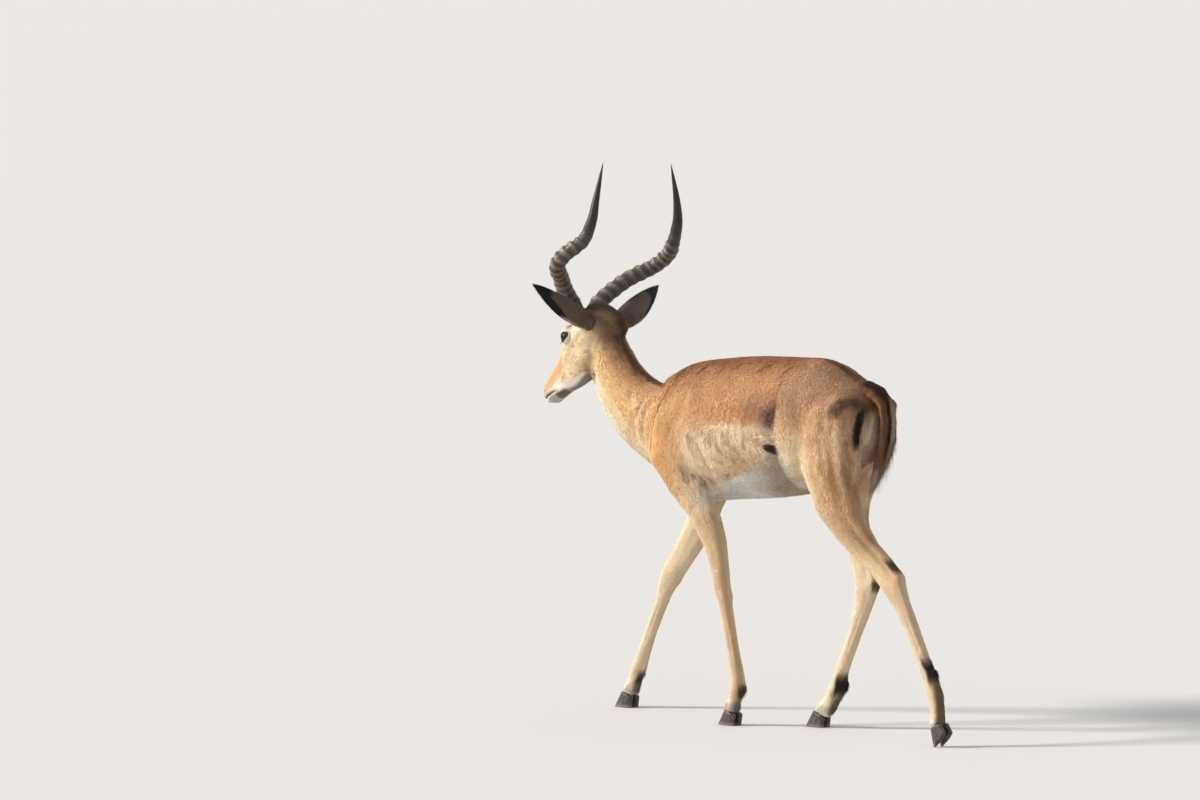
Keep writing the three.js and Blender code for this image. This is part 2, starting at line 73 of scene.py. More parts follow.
EYES = {side: middle("eye_" + side) for side in SIDES}
EYE_RADIUS = (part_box("eye_left")[1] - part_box("eye_left")[0]).z / 2

# The head's own frame: along the face from the poll, out to its right, and up out of the forehead.
# It leans to one side as far as the line from eye to eye does.
_eye_line = EYES["right"] - EYES["left"]
HEAD_LEAN = np.array(Matrix.Rotation(math.atan2(_eye_line[2], _eye_line[1]), 3, "X"))
HEAD_ALONG = HEAD_LEAN @ np.array((-math.cos(HEAD_PITCH), 0, -math.sin(HEAD_PITCH)))
HEAD_OUT = HEAD_LEAN @ np.array((0.0, 1.0, 0.0))
HEAD_UP = np.cross(HEAD_OUT, HEAD_ALONG)
POLL = (EYES["left"] + EYES["right"]) / 2 - HEAD_ALONG * EYE_ALONG - HEAD_UP * EYE_UP
MID_Y = float(POLL[1])  # the animal's plane of symmetry


def to_head(points):
    """Points as (along, out, up) in the head's own frame."""
    return (points - POLL) @ np.stack([HEAD_ALONG, HEAD_OUT, HEAD_UP], 1)


def to_half_head(points):
    """As to_head, with the left half laid over the right one."""
    place = to_head(points)
    place[:, 1] = np.abs(place[:, 1])
    return place


def from_head(along, out, up):
    return POLL + along * HEAD_ALONG + out * HEAD_OUT + up * HEAD_UP


# ------------------------------------------------------------------------------ small tools
MARKS = "marks"  # the name under which every mesh keeps its colours


def amount(full):
    return full


def smoothstep(low, high, value):
    t = np.clip((value - low) / (high - low), 0, 1)
    return t * t * (3 - 2 * t)


def mixed(base, colour, mask):
    return base + (np.asarray(colour) - base) * np.asarray(mask)[:, None]


def unit(vectors):
    return vectors / np.maximum(np.linalg.norm(vectors, axis=-1, keepdims=True), 1e-12)


def rgb(red, green, blue):
    """A colour written as the eye sees it, 0 to 255, as linear light."""
    value = np.array((red, green, blue)) / 255
    return np.where(value > 0.04045, ((value + 0.055) / 1.055) ** 2.4, value / 12.92)


def path_distance(points, path):
    """The distance from each point to a line through a few points, and how far along it, 0 to 1."""
    path = np.asarray(path, float)
    best = np.full(len(points), 1e9)
    share = np.zeros(len(points))
    lengths = np.linalg.norm(np.diff(path, axis=0), axis=1)
    total, before = lengths.sum(), 0.0
    for start, end, length in zip(path[:-1], path[1:], lengths):
        way = (end - start) / length
        t = np.clip((points - start) @ way, 0, length)
        distance = np.linalg.norm(points - start - t[:, None] * way, axis=1)
        near = distance < best
        best[near] = distance[near]
        share[near] = (before + t[near]) / total
        before += length
    return best, share


def new_object(name, mesh):
    obj = bpy.data.objects.new(name, mesh)
    bpy.context.scene.collection.objects.link(obj)
    return obj


def new_mesh(name, points, faces):
    """A mesh from an array of points and an array of faces that all have the same count of corners."""
    points, faces = np.asarray(points, np.float32), np.asarray(faces, np.int32)
    corners = faces.shape[1]
    mesh = bpy.data.meshes.new(name)
    mesh.vertices.add(len(points))
    mesh.vertices.foreach_set("co", points.ravel())
    mesh.loops.add(faces.size)
    mesh.loops.foreach_set("vertex_index", faces.ravel())
    mesh.polygons.add(len(faces))
    mesh.polygons.foreach_set("loop_start", np.arange(len(faces), dtype=np.int32) * corners)
    mesh.update(calc_edges=True)
    return mesh


def points_of(mesh):
    co = np.zeros(len(mesh.vertices) * 3, np.float32)
    mesh.vertices.foreach_get("co", co)
    return co.reshape(-1, 3).astype(float)


def set_points(mesh, points):
    mesh.vertices.foreach_set("co", np.asarray(points, np.float32).ravel())
    mesh.update()


def normals_of(mesh):
    normals = np.zeros(len(mesh.vertices) * 3, np.float32)
    mesh.vertex_normals.foreach_get("vector", normals)
    return normals.reshape(-1, 3).astype(float)


def triangles_of(mesh):
    mesh.calc_loop_triangles()
    corners = np.zeros(len(mesh.loop_triangles) * 3, np.int32)
    mesh.loop_triangles.foreach_get("vertices", corners)
    return corners.reshape(-1, 3)


def smooth_faces(mesh):
    mesh.polygons.foreach_set("use_smooth", np.ones(len(mesh.polygons), bool))


def paint(mesh, colours):
    """Stores colours, linear light, one for each point, under the name that the materials read."""
    layer = mesh.color_attributes.new(MARKS, "FLOAT_COLOR", "POINT")
    shade = np.ones((len(mesh.vertices), 4), np.float32)
    shade[:, :3] = np.clip(colours, 0, 1)
    layer.data.foreach_set("color", shade.ravel())


def painted(colour, count):
    """One colour, repeated for a count of points."""
    return np.tile(colour, (count, 1))


def taken_from(work, name):
    """What a bmesh holds, as a mesh; the bmesh is freed."""
    mesh = bpy.data.meshes.new(name)
    work.to_mesh(mesh)
    work.free()
    return mesh


def modified(obj, kind, **settings):
    """The mesh of a working object after one modifier; the object is removed."""
    modifier = obj.modifiers.new("work", kind)
    for setting, value in settings.items():
        setattr(modifier, setting, value)
    evaluated = obj.evaluated_get(bpy.context.evaluated_depsgraph_get())
    mesh = bpy.data.meshes.new_from_object(evaluated)
    bpy.data.objects.remove(obj)
    return mesh


def joined_meshes(name, meshes):
    """Several meshes as one, in order."""
    work = bmesh.new()
    for mesh in meshes:
        work.from_mesh(mesh)
    return taken_from(work, name)


def set_inputs(node, values):
    for name, value in values.items():
        node.inputs[name].default_value = value


def new_material(name, values):
    """A material with these inputs of its shader set, its node tree and its shader."""
    material = bpy.data.materials.new(name)
    material.use_nodes = True
    tree = material.node_tree
    shader = tree.nodes["Principled BSDF"]
    set_inputs(shader, values)
    return material, tree, shader


def neighbours_of(mesh):
    """For each point its neighbours along edges, in a table padded with the point itself."""
    ends = np.zeros(len(mesh.edges) * 2, np.int32)
    mesh.edges.foreach_get("vertices", ends)
    ends = ends.reshape(-1, 2)
    source = np.concatenate([ends[:, 0], ends[:, 1]])
    target = np.concatenate([ends[:, 1], ends[:, 0]])
    order = np.argsort(source, kind="stable")
    source, target = source[order], target[order]
    first = np.searchsorted(source, np.arange(len(mesh.vertices)))
    place = np.arange(len(source)) - first[source]
    width = min(int(place.max()) + 1, 9)
    table = np.repeat(np.arange(len(mesh.vertices))[:, None], width, 1)
    kept = place < width
    table[source[kept], place[kept]] = target[kept]
    return table


def smoothed(values, table, times, weight=0.6):
    """Values eased towards their neighbours' mean. times may differ from point to point."""
    times = np.broadcast_to(times, len(values))
    own = table == np.arange(len(values))[:, None]
    count = np.maximum((~own).sum(1), 1)[:, None]
    padding = own.sum(1)[:, None]
    for step in range(int(np.ceil(times.max()))):
        total = -padding * values
        for column in table.T:
            total = total + values[column]
        share = weight * np.clip(times - step, 0, 1)[:, None]
        values = values + (total / count - values) * share
    return values


# ------------------------------------------------------------------------------ the skin's first form
def joined_nodes(names):
    """The points and triangles of several nodes as one."""
    points, faces, count = [], [], 0
    for name in names:
        mesh = NODES[name].data
        points.append(points_of(mesh))
        faces.append(triangles_of(mesh) + count)
        count += len(points[-1])
    return np.concatenate(points), np.concatenate(faces)


def stub(name, root, way, length):
    """The foot of a horn or an ear, cut off and closed, to fill its seat in the head."""
    work = bmesh.new()
    work.from_mesh(NODES[name].data)
    bmesh.ops.remove_doubles(work, verts=work.verts, dist=SAME_PLACE)
    root, top = Vector(root), Vector(root + length * way)
    way = (top - root).normalized()
    everything = work.verts[:] + work.edges[:] + work.faces[:]
    bmesh.ops.bisect_plane(work, geom=everything, plane_co=top, plane_no=way, clear_outer=True)
    bmesh.ops.holes_fill(work, edges=[edge for edge in work.edges if edge.is_boundary])
    bmesh.ops.triangulate(work, faces=work.faces[:])
    mesh = taken_from(work, "stub")
    return points_of(mesh), triangles_of(mesh)


HORN_STUB = 0.028  # the length of a horn's foot that is filled with the head
EAR_STUB = 0.16  # the share of the ear's length that is one with the head


def horn_root(side):
    """The middle of a horn's foot, and the way the horn leaves it."""
    points = points_of(NODES["horn_" + side].data)
    foot = points[points[:, 2] < points[:, 2].min() + 0.02].mean(0)
    beyond = points[np.linalg.norm(points - foot, axis=1) < 0.07].mean(0)
    return foot, unit(beyond - foot)


def ear_frame(side):
    """The ear's root, the ways along it, to its lower edge and to its back, and its length."""
    points = points_of(NODES["ear_" + side].data)
    sign = SIDES[side]
    far = points[np.argmax(sign * points[:, 1])]
    near = points[sign * (points[:, 1] - MID_Y) < sign * (far[1] - MID_Y) * 0.30].mean(0)
    along = unit(far - near)
    back = np.array((0.9, -sign * 0.1, 0.25))
    back = unit(back - along * (back @ along))
    lower = np.cross(along, back) * sign
    return near, along, lower * np.sign(-lower[2]), back, np.linalg.norm(far - near)


def first_skin():
    """All flesh and the filled seats of eyes, horns and ears, as one closed mesh of small squares."""
    soups = [joined_nodes([*FLESH, "eye_left", "eye_right"])]
    for side in SIDES:
        soups.append(stub("horn_" + side, *horn_root(side), HORN_STUB))
        root, along, _, _, length = ear_frame(side)
        soups.append(stub("ear_" + side, root, along, EAR_STUB * length))
    points, faces, count = [], [], 0
    for soup_points, soup_faces in soups:
        points.append(soup_points)
        faces.append(soup_faces + count)
        count += len(soup_points)
    work = new_object("work", new_mesh("work", np.concatenate(points), np.concatenate(faces)))
    return modified(work, "REMESH", mode="VOXEL", voxel_size=VOXEL)


SAMPLE_SPACING = 0.012  # how far apart the points lie that tell which node a place is on
MOST_SPLITS = 7


def label_tree():
    """A tree of points spread over the nodes of flesh, and the node of each."""
    samples, labels = [], []
    for number, name in enumerate(FLESH):
        mesh = NODES[name].data
        corners = points_of(mesh)[triangles_of(mesh)]
        edge = np.linalg.norm(corners - np.roll(corners, 1, axis=1), axis=2).max(1)
        for count in range(1, MOST_SPLITS + 1):
            chosen = corners[np.ceil(edge / SAMPLE_SPACING).clip(1, MOST_SPLITS) == count]
            for i in range(count):
                for j in range(count - i):
                    a, b = (i + 1 / 3) / count, (j + 1 / 3) / count
                    spot = chosen[:, 0] * (1 - a - b) + chosen[:, 1] * a + chosen[:, 2] * b
                    samples.append(spot)
                    labels.append(np.full(len(spot), number))
    samples, labels = np.concatenate(samples), np.concatenate(labels)
    tree = kdtree.KDTree(len(samples))
    for i, spot in enumerate(samples.tolist()):
        tree.insert(spot, i)
    tree.balance()
    return tree, labels


LABEL_TREE, LABELS = label_tree()


def labels_of(points):
    """The number in FLESH of the node that each point lies on."""
    find = LABEL_TREE.find
    return LABELS[[find(spot)[1] for spot in points.tolist()]]


# ------------------------------------------------------------------------------ shaping the skin
LEVELS = np.arange(0.03, 0.62, 0.006)  # the heights at which each leg is measured
LEVEL_REACH = 0.005  # points this near to a level, above or below, make up its section
FEWEST_POINTS = 12  # a section with fewer is filled in from its neighbours


def leg_rows(points, chosen):
    """For each level of a leg, the middle and half size of its section, from front to back and across."""
    rows = []
    for level in LEVELS:
        ring = points[chosen & (np.abs(points[:, 2] - level) < LEVEL_REACH)]
        if len(ring) < FEWEST_POINTS:
            rows.append([np.nan] * 4)
            continue
        low, high = ring.min(0), ring.max(0)
        rows.append([*(low + high)[:2] / 2, *(high - low)[:2] / 2])
    rows = np.array(rows)
    for column in rows.T:
        known = ~np.isnan(column)
        column[:] = np.interp(LEVELS, LEVELS[known], column[known])
    for _ in range(4):
        rows[1:-1] = (rows[:-2] + 2 * rows[1:-1] + rows[2:]) / 4
    return rows


def leg_place(points, leg, rows):
    """A point's place on a leg: height, back from -1 to 1, outward from -1 to 1."""
    x, y, half_x, half_y = (np.interp(points[:, 2], LEVELS, column) for column in rows.T)
    back = (points[:, 0] - x) / np.maximum(half_x, 0.01)
    out = SIDES[leg.split("_")[0]] * (points[:, 1] - y) / np.maximum(half_y, 0.01)
    return points[:, 2], back, out


def on_side(points, normals, side):
    """From 0 to 1, how surely a point is on one side of the trunk or neck."""
    across = side * (points[:, 1] - MID_Y)
    return smoothstep(-0.004, 0.02, across) * smoothstep(-0.1, 0.25, side * normals[:, 1])


def press_lines(points, normals, chosen, lines):
    """Grooves (depth above 0) and ridges along lines seen from the side, on both sides alike."""
    total = np.zeros(len(points))
    flat = points[chosen][:, (0, 2)]
    for path, width, depth in lines:
        distance, share = path_distance(flat, path)
        fade = smoothstep(0, 0.15, share) * smoothstep(0, 0.15, 1 - share)
        if np.linalg.norm(np.subtract(path[-1], path[0])) < 4 * width:
            fade = 1.0
        strength = np.exp(-((distance / width) ** 2)) * (0.35 + 0.65 * fade)
        total[chosen] += depth * strength
    sides = on_side(points, normals, 1) + on_side(points, normals, -1)
    return points - normals * (total * sides)[:, None]


# Small folds on the back, seen from the side as (x, z): a line's points, its depth and how dark its painted
# shade is.
BACK_FOLD_WIDTH = 0.005
BACK_FOLDS = (
    (((0.112, 0.905), (0.085, 0.893), (0.058, 0.876)), 0.0009, 0.65),
    (((0.180, 0.905), (0.158, 0.885), (0.148, 0.855)), 0.0009, 0.65),
    (((0.004, 0.900), (-0.018, 0.888), (-0.030, 0.872)), 0.0008, 0.50),
    (((-0.055, 0.888), (-0.074, 0.868)), 0.0008, 0.50),
)
# Seen from the side as (x, z): a line's points, its width and its depth, below 0 for a ridge.
TRUNK_LINES = (
    (((0.206, 0.655), (0.172, 0.71), (0.163, 0.77), (0.166, 0.815)), 0.016, 0.0036),
    (((0.232, 0.66), (0.208, 0.73), (0.212, 0.81)), 0.026, -0.0045),
    (((0.325, 0.83), (0.352, 0.74), (0.378, 0.64), (0.402, 0.54)), 0.013, 0.0035),
    (((0.372, 0.80), (0.392, 0.70), (0.404, 0.62)), 0.018, -0.0030),
    (((0.255, 0.86), (0.290, 0.80), (0.300, 0.72)), 0.030, -0.0030),
    (((-0.190, 0.845), (-0.225, 0.77), (-0.270, 0.69)), 0.016, -0.0035),
    (((-0.150, 0.84), (-0.175, 0.76), (-0.205, 0.69)), 0.016, 0.0030),
    (((-0.125, 0.765), (-0.092, 0.69), (-0.068, 0.62), (-0.055, 0.585)), 0.022, 0.0034),
    (((-0.150, 0.735), (-0.120, 0.67), (-0.100, 0.63)), 0.022, -0.0026),
    (((-0.222, 0.875), (-0.248, 0.81), (-0.268, 0.74), (-0.285, 0.67)), 0.007, 0.0045),
    (((-0.206, 0.872), (-0.232, 0.80), (-0.250, 0.73)), 0.010, -0.0030),
    (((-0.300, 0.815), (-0.318, 0.76), (-0.325, 0.70)), 0.008, 0.0022),
    (((-0.335, 0.80), (-0.352, 0.745), (-0.356, 0.69)), 0.009, 0.0016),
    (((0.232, 0.850), (0.240, 0.846)), 0.040, -0.0024),
    (((0.398, 0.812), (0.404, 0.80)), 0.022, -0.0050),
    (((0.110, 0.815), (0.140, 0.80)), 0.050, 0.0012),
    *((path, BACK_FOLD_WIDTH, depth) for path, depth, _ in BACK_FOLDS),
    (((0.166, 0.875), (0.160, 0.83), (0.163, 0.79)), 0.005, 0.0010),
    (((0.262, 0.605), (0.282, 0.575)), 0.012, 0.0030),
    *(
        (((x, 0.825), (x - 0.012, 0.75), (x - 0.006, 0.672)), 0.0085, -0.0007)
        for x in np.arange(-0.045, 0.125, 0.0235)
    ),
)
NECK_LINES = (
    (((-0.548, 0.865), (-0.480, 0.79), (-0.400, 0.715), (-0.345, 0.68)), 0.016, 0.0040),
    (((-0.500, 0.90), (-0.440, 0.84), (-0.370, 0.79)), 0.022, -0.0030),
    (((-0.385, 0.815), (-0.362, 0.77), (-0.362, 0.73)), 0.008, 0.0016),
)

# Bones, tendons and the hollows between them on a leg: height, place from front (-1) to back (1),
# sizes upwards and round the leg, and depth, below 0 for a bump. They lie on both faces of the leg.
FORE_RELIEF = (
    (0.335, -0.45, 0.030, 0.50, -0.0022),
    (0.322, 0.75, 0.014, 0.35, -0.0035),
    (0.300, 0.10, 0.012, 0.60, 0.0012),
    (0.440, 0.35, 0.060, 0.22, 0.0022),
    (0.450, -0.45, 0.070, 0.30, -0.0012),
    (0.210, 0.25, 0.060, 0.20, 0.0018),
    (0.100, 0.00, 0.018, 0.60, -0.0015),
    (0.075, 0.10, 0.010, 0.60, 0.0012),
)
HIND_RELIEF = (
    (0.455, 0.45, 0.045, 0.22, 0.0070),
    (0.470, 0.95, 0.060, 0.30, -0.0015),
    (0.385, 0.85, 0.022, 0.35, -0.0030),
    (0.372, 0.10, 0.018, 0.35, 0.0022),
    (0.350, -0.30, 0.018, 0.45, -0.0022),
    (0.318, 0.55, 0.020, 0.30, 0.0015),
    (0.250, 0.30, 0.060, 0.20, 0.0020),
    (0.120, 0.00, 0.018, 0.60, -0.0015),
    (0.088, 0.10, 0.010, 0.60, 0.0012),
)
# How much higher each leg's joints are than its relief says.
RELIEF_LIFT = {"left_fore": 0.0, "right_fore": 0.006, "left_hind": 0.024, "right_hind": 0.0}


def press_leg(points, normals, chosen, leg, rows):
    """Bones and tendons of one leg, on the chosen points."""
    relief = FORE_RELIEF if leg.endswith("fore") else HIND_RELIEF
    lift = RELIEF_LIFT[leg]
    height, back, out = leg_place(points, leg, rows)
    face = np.abs(out) ** 0.5
    total = np.zeros(len(points))
    for level, where, tall, wide, depth in relief:
        apart = ((height - level - lift) / tall) ** 2 + ((back - where) / wide) ** 2
        total += depth * np.exp(-apart) * face
    return points - normals * (total * chosen)[:, None]


# ------------------------------------------------------------------------------ shaping the head
def eye_look(sign):
    """An eye's ways outward, forward along its lids, and up."""
    outward = unit(sign * 0.94 * HEAD_OUT + 0.26 * HEAD_ALONG + 0.22 * HEAD_UP)
    forward = HEAD_ALONG + 0.10 * HEAD_UP
    forward = unit(forward - outward * (outward @ forward))
    return outward, forward, np.cross(forward, outward) * sign


EYE_LOOK = {side: eye_look(sign) for side, sign in SIDES.items()}
LID_LENGTH, LID_TOP, LID_BOTTOM = 0.0152, 0.0100, 0.0100  # half the opening's length, its two heights
LID_THICKNESS = 0.0014
LID_REACH, LID_CORE = 0.034, 0.025  # how far from the ball's middle the face is shaped, and finest
LID_DEPTH = 0.0035  # how far the skin in the opening lies behind the ball's surface


def lid_edge(along):
    """The heights of the upper and lower lid at a place from -1, the back corner, to 1, the front."""
    arch = np.sqrt(np.clip(1 - along**2, 0, None))
    return LID_TOP * arch**0.85, -LID_BOTTOM * arch


def eye_opening(points, side):
    """How far each point is from the middle of the eye's opening, 1 at the lids' edge."""
    outward, forward, up = EYE_LOOK[side]
    apart = points - EYES[side]
    high = apart @ up
    tall = np.where(high > 0, LID_TOP, LID_BOTTOM)
    spread = np.hypot((apart @ forward) / LID_LENGTH, high / tall)
    near = (apart @ outward > 0) & (np.linalg.norm(apart, axis=1) < LID_REACH)
    return np.where(near, spread, 9.0)


def lid_distance(points):
    """As eye_opening, for the nearer of the two eyes."""
    return np.minimum(eye_opening(points, "left"), eye_opening(points, "right"))


def shape_eye(points, side):
    """Presses the lids round the ball and opens them."""
    outward, forward, up = EYE_LOOK[side]
    apart = points - EYES[side]
    distance = np.linalg.norm(apart, axis=1)
    near = (distance < LID_REACH) & (apart @ outward > 0)
    local = np.stack([apart @ forward, apart @ up], 1)
    upper, lower = lid_edge(np.clip(local[:, 0] / LID_LENGTH, -1, 1))
    inside = near & (local[:, 1] < upper) & (local[:, 1] > lower) & (np.abs(local[:, 0]) < LID_LENGTH)
    direction = apart / distance[:, None]
    # the lids lie on the ball near the opening and ease into the face further out
    spread = np.linalg.norm(local / (LID_LENGTH + 0.004, LID_TOP + 0.006), axis=1)
    hug = near & ~inside
    on_ball = EYE_RADIUS + LID_THICKNESS
    reach = np.where(hug, 1 - smoothstep(0.92, 1.16, spread), 0)
    wanted = distance + (on_ball - distance) * reach
    # a soft fold above the upper lid and under the lower
    fold = np.exp(-(((spread - 1.22) / 0.07) ** 2)) * near * (np.abs(local[:, 0]) < 0.016)
    wanted = wanted - 0.0009 * fold
    wanted = np.where(inside, EYE_RADIUS - LID_DEPTH, wanted)
    return np.where((hug | inside)[:, None], EYES[side] + direction * wanted[:, None], points)


def bump(place, at, size, height):
    """How much a soft bump lifts each point: place is in the head's frame, mirrored to one side."""
    return height * np.exp(-(((place - at) / size) ** 2).sum(1))


# In the head's frame, mirrored: the mouth's line from under the nose to the corner.
MOUTH = (
    (0.309, 0.000, -0.028),
    (0.303, 0.012, -0.030),
    (0.285, 0.021, -0.034),
    (0.262, 0.026, -0.041),
    (0.246, 0.029, -0.051),
)
MOUTH_CORNER = ((0.258, 0.018, -0.058), (0.238, 0.018, -0.068))  # the dark patch behind it
NOSTRIL = ((0.303, 0.0070, -0.017), (0.297, 0.0135, -0.011), (0.285, 0.0190, -0.011))
HEAD_BUMPS = (
    # brow, cheekbone, jaw muscle, bridge of the nose, lip pads, chin, and the hollows before the
    # eye, along the cheek and at the temple: place, sizes and height, below 0 for a hollow
    ((0.108, 0.050, 0.034), (0.022, 0.012, 0.008), 0.0040),
    ((0.128, 0.052, -0.008), (0.030, 0.012, 0.008), 0.0022),
    ((0.085, 0.046, -0.045), (0.030, 0.020, 0.030), 0.0030),
    ((0.215, 0.000, 0.016), (0.060, 0.010, 0.012), 0.0018),
    ((0.275, 0.024, -0.024), (0.020, 0.012, 0.007), 0.0020),
    ((0.283, 0.000, -0.056), (0.016, 0.018, 0.014), 0.0030),
    ((0.152, 0.045, 0.006), (0.012, 0.012, 0.010), -0.0030),
    ((0.185, 0.036, -0.030), (0.030, 0.012, 0.012), -0.0028),
    ((0.070, 0.052, 0.018), (0.018, 0.012, 0.014), -0.0012),
)
SIDE_ON = np.array((1.0, 0.4, 1.0))  # distances to the mouth and nostrils count less outwards


def from_line(place, path):
    """How far places on the face lie from a line on it, and how far along the line, 0 to 1."""
    return path_distance(place * SIDE_ON, np.array(path) * SIDE_ON)


def shape_head(points, normals, chosen):
    """Brow, cheeks, mouth, nostrils and lip, on the chosen points."""
    place = to_half_head(points)
    lift = np.zeros(len(points))
    for at, size, height in HEAD_BUMPS:
        lift += bump(place, at, size, height)
    mouth, share = from_line(place, MOUTH)
    lift -= 0.0042 * np.exp(-((mouth / 0.0026) ** 2)) * (1 - 0.4 * share)
    lift += 0.0012 * np.exp(-(((mouth - 0.0065) / 0.003) ** 2))
    nostril, _ = from_line(place, NOSTRIL)
    lift -= 0.0075 * np.exp(-((nostril / 0.0036) ** 2))
    lift += 0.0016 * np.exp(-(((nostril - 0.0075) / 0.003) ** 2))
    # the cleft under the nose, in the upper lip
    cleft = np.exp(-((place[:, 1] / 0.0014) ** 2)) * smoothstep(0.288, 0.300, place[:, 0])
    cleft = cleft * smoothstep(-0.034, -0.026, place[:, 2]) * smoothstep(-0.004, -0.012, place[:, 2])
    lift -= 0.0016 * cleft
    return points + normals * (lift * chosen)[:, None]


def refined(mesh, zones):
    """The mesh with its edges cut in half wherever they lie in one of the zones, (centre, radius)."""
    work = bmesh.new()
    work.from_mesh(mesh)
    points = points_of(mesh)
    inside = np.zeros(len(points), bool)
    for centre, radius in zones:
        inside |= np.linalg.norm(points - centre, axis=1) < radius
    work.edges.ensure_lookup_table()
    edges = [e for e in work.edges if inside[e.verts[0].index] and inside[e.verts[1].index]]
    bmesh.ops.subdivide_edges(work, edges=edges, cuts=1, use_grid_fill=True)
    return taken_from(work, "skin")


# How much the first form is eased on each node, and how deep the skin lies below it, in the coat.
EASE = {"head": 9, "neck": 70, "trunk": 80, "tail": 30, "leg": 60}
COAT_DEPTH = {"head": 0.0013, "neck": 0.0034, "trunk": 0.0036, "tail": 0.0036, "leg": 0.0032}
LOWER_LEG_EASE, LOWER_LEG_DEPTH = 9, 0.0010
FIRST_LEG = FLESH.index("leg_left_fore")  # the legs come last in FLESH
BLEND, HAIR_BLEND, TAIL_BLEND = 25, 30, 6  # how widely values are eased where two nodes meet


def by_node(table, labels):
    """A value for each point from a table by node; all legs share one."""
    values = np.array([table[name.split("_")[0]] for name in FLESH], float)
    return values[labels]


def ease_skin(mesh):
    """Eases the first form node by node and sinks it by the coat's depth."""
    table = neighbours_of(mesh)
    points = points_of(mesh)
    labels = labels_of(points)
    lower = 1 - smoothstep(0.47, 0.58, points[:, 2])
    ease, depth = by_node(EASE, labels), by_node(COAT_DEPTH, labels)
    is_leg = labels >= FIRST_LEG
    ease = np.where(is_leg, ease + (LOWER_LEG_EASE - ease) * lower, ease)
    depth = np.where(is_leg, depth + (LOWER_LEG_DEPTH - depth) * lower, depth)
    # at the hooves' upper edge the skin keeps its full width
    depth = depth * smoothstep(HOOF_TOP, COAT_TOP, points[:, 2])
    fields = smoothed(np.stack([ease, depth], 1), table, BLEND)
    points = smoothed(points, table, fields[:, 0])
    set_points(mesh, points)
    set_points(mesh, points - normals_of(mesh) * fields[:, 1:])


def grow_skin():
    """The body's skin, and for each leg the middles and sizes of its sections."""
    mesh = first_skin()
    ease_skin(mesh)
    muzzle = (from_head(0.285, 0, -0.035), 0.036)
    mesh = refined(mesh, [*((EYES[side], LID_REACH) for side in SIDES), muzzle])
    mesh = refined(mesh, [(EYES[side], LID_CORE) for side in SIDES])
    points, normals = points_of(mesh), normals_of(mesh)
    labels = labels_of(points)
    on = {name: labels == number for number, name in enumerate(FLESH)}
    legs = {leg: leg_rows(points, on["leg_" + leg]) for leg in LEGS}
    body = on["trunk"] | ((labels >= FIRST_LEG) & (points[:, 2] > 0.53))
    points = press_lines(points, normals, body, TRUNK_LINES)
    points = press_lines(points, normals, on["neck"] | on["trunk"], NECK_LINES)
    for leg in LEGS:
        own = on["leg_" + leg] & (points[:, 2] < 0.55)
        points = press_leg(points, normals, own, leg, legs[leg])
    points = shape_head(points, normals, on["head"])
    for side in SIDES:
        points = shape_eye(points, side)
    set_points(mesh, points)
    return mesh, legs


# ------------------------------------------------------------------------------ ears
EAR_EASE, EAR_INSET = 5, 0.0004


def ear_skin(side):
    """The ear's leaf, finer than its solid and eased; its foot stays in the head."""
    work = bmesh.new()
    work.from_mesh(NODES["ear_" + side].data)
    bmesh.ops.remove_doubles(work, verts=work.verts, dist=SAME_PLACE)
    leaf = new_object("work", taken_from(work, "ear"))
    mesh = modified(leaf, "SUBSURF", levels=3, subdivision_type="SIMPLE")
    points = smoothed(points_of(mesh), neighbours_of(mesh), EAR_EASE)
    set_points(mesh, points)
    set_points(mesh, points - normals_of(mesh) * EAR_INSET)
    return mesh


# ------------------------------------------------------------------------------ camera, floor, light
CAMERA_AZIMUTH = math.radians(45)
CAMERA_HEIGHT = math.radians(4.5)
CAMERA_DISTANCE = 29.0
CAMERA_LENS = 352.0
CAMERA_AIM = Vector((-0.237, -0.310, 0.810))


def place_camera():
    data = bpy.data.cameras.new("camera")
    data.lens = CAMERA_LENS
    data.clip_end = 200
    camera = new_object("camera", data)
    flat = math.cos(CAMERA_HEIGHT)
    x, y = math.sin(CAMERA_AZIMUTH) * flat, -math.cos(CAMERA_AZIMUTH) * flat
    back = Vector((x, y, math.sin(CAMERA_HEIGHT)))
    camera.location = CAMERA_AIM + back * CAMERA_DISTANCE
    camera.rotation_euler = back.to_track_quat("Z", "Y").to_euler()
    bpy.context.scene.camera = camera


def sun(name, towards, strength, softness, colour):
    """A wide soft lamp far away in the given direction."""
    data = bpy.data.lights.new(name, "SUN")
    data.angle = math.radians(softness)
    data.energy = strength
    data.color = colour
    lamp = new_object(name, data)
    lamp.rotation_euler = Vector(towards).to_track_quat("Z", "Y").to_euler()


FLOOR = 90.0  # half the floor's width
FLOOR_COLOUR = (0.80, 0.79, 0.77)
WORLD_COLOUR = (0.93, 0.95, 1.0)
WORLD_LIGHT, WORLD_SEEN = 0.38, 0.92  # the world's strength as a lamp, and as the camera sees it
LAMPS = (  # where each comes from, its strength, its width in degrees and its colour
    ("key", (-0.62, -0.70, 0.50), 3.70, 12, (1.0, 0.955, 0.89)),
    ("fill", (0.75, -0.62, 0.45), 0.15, 70, (1, 1, 1)),
    ("top", (0.1, 0.35, 1.0), 0.25, 60, (1, 1, 1)),
)


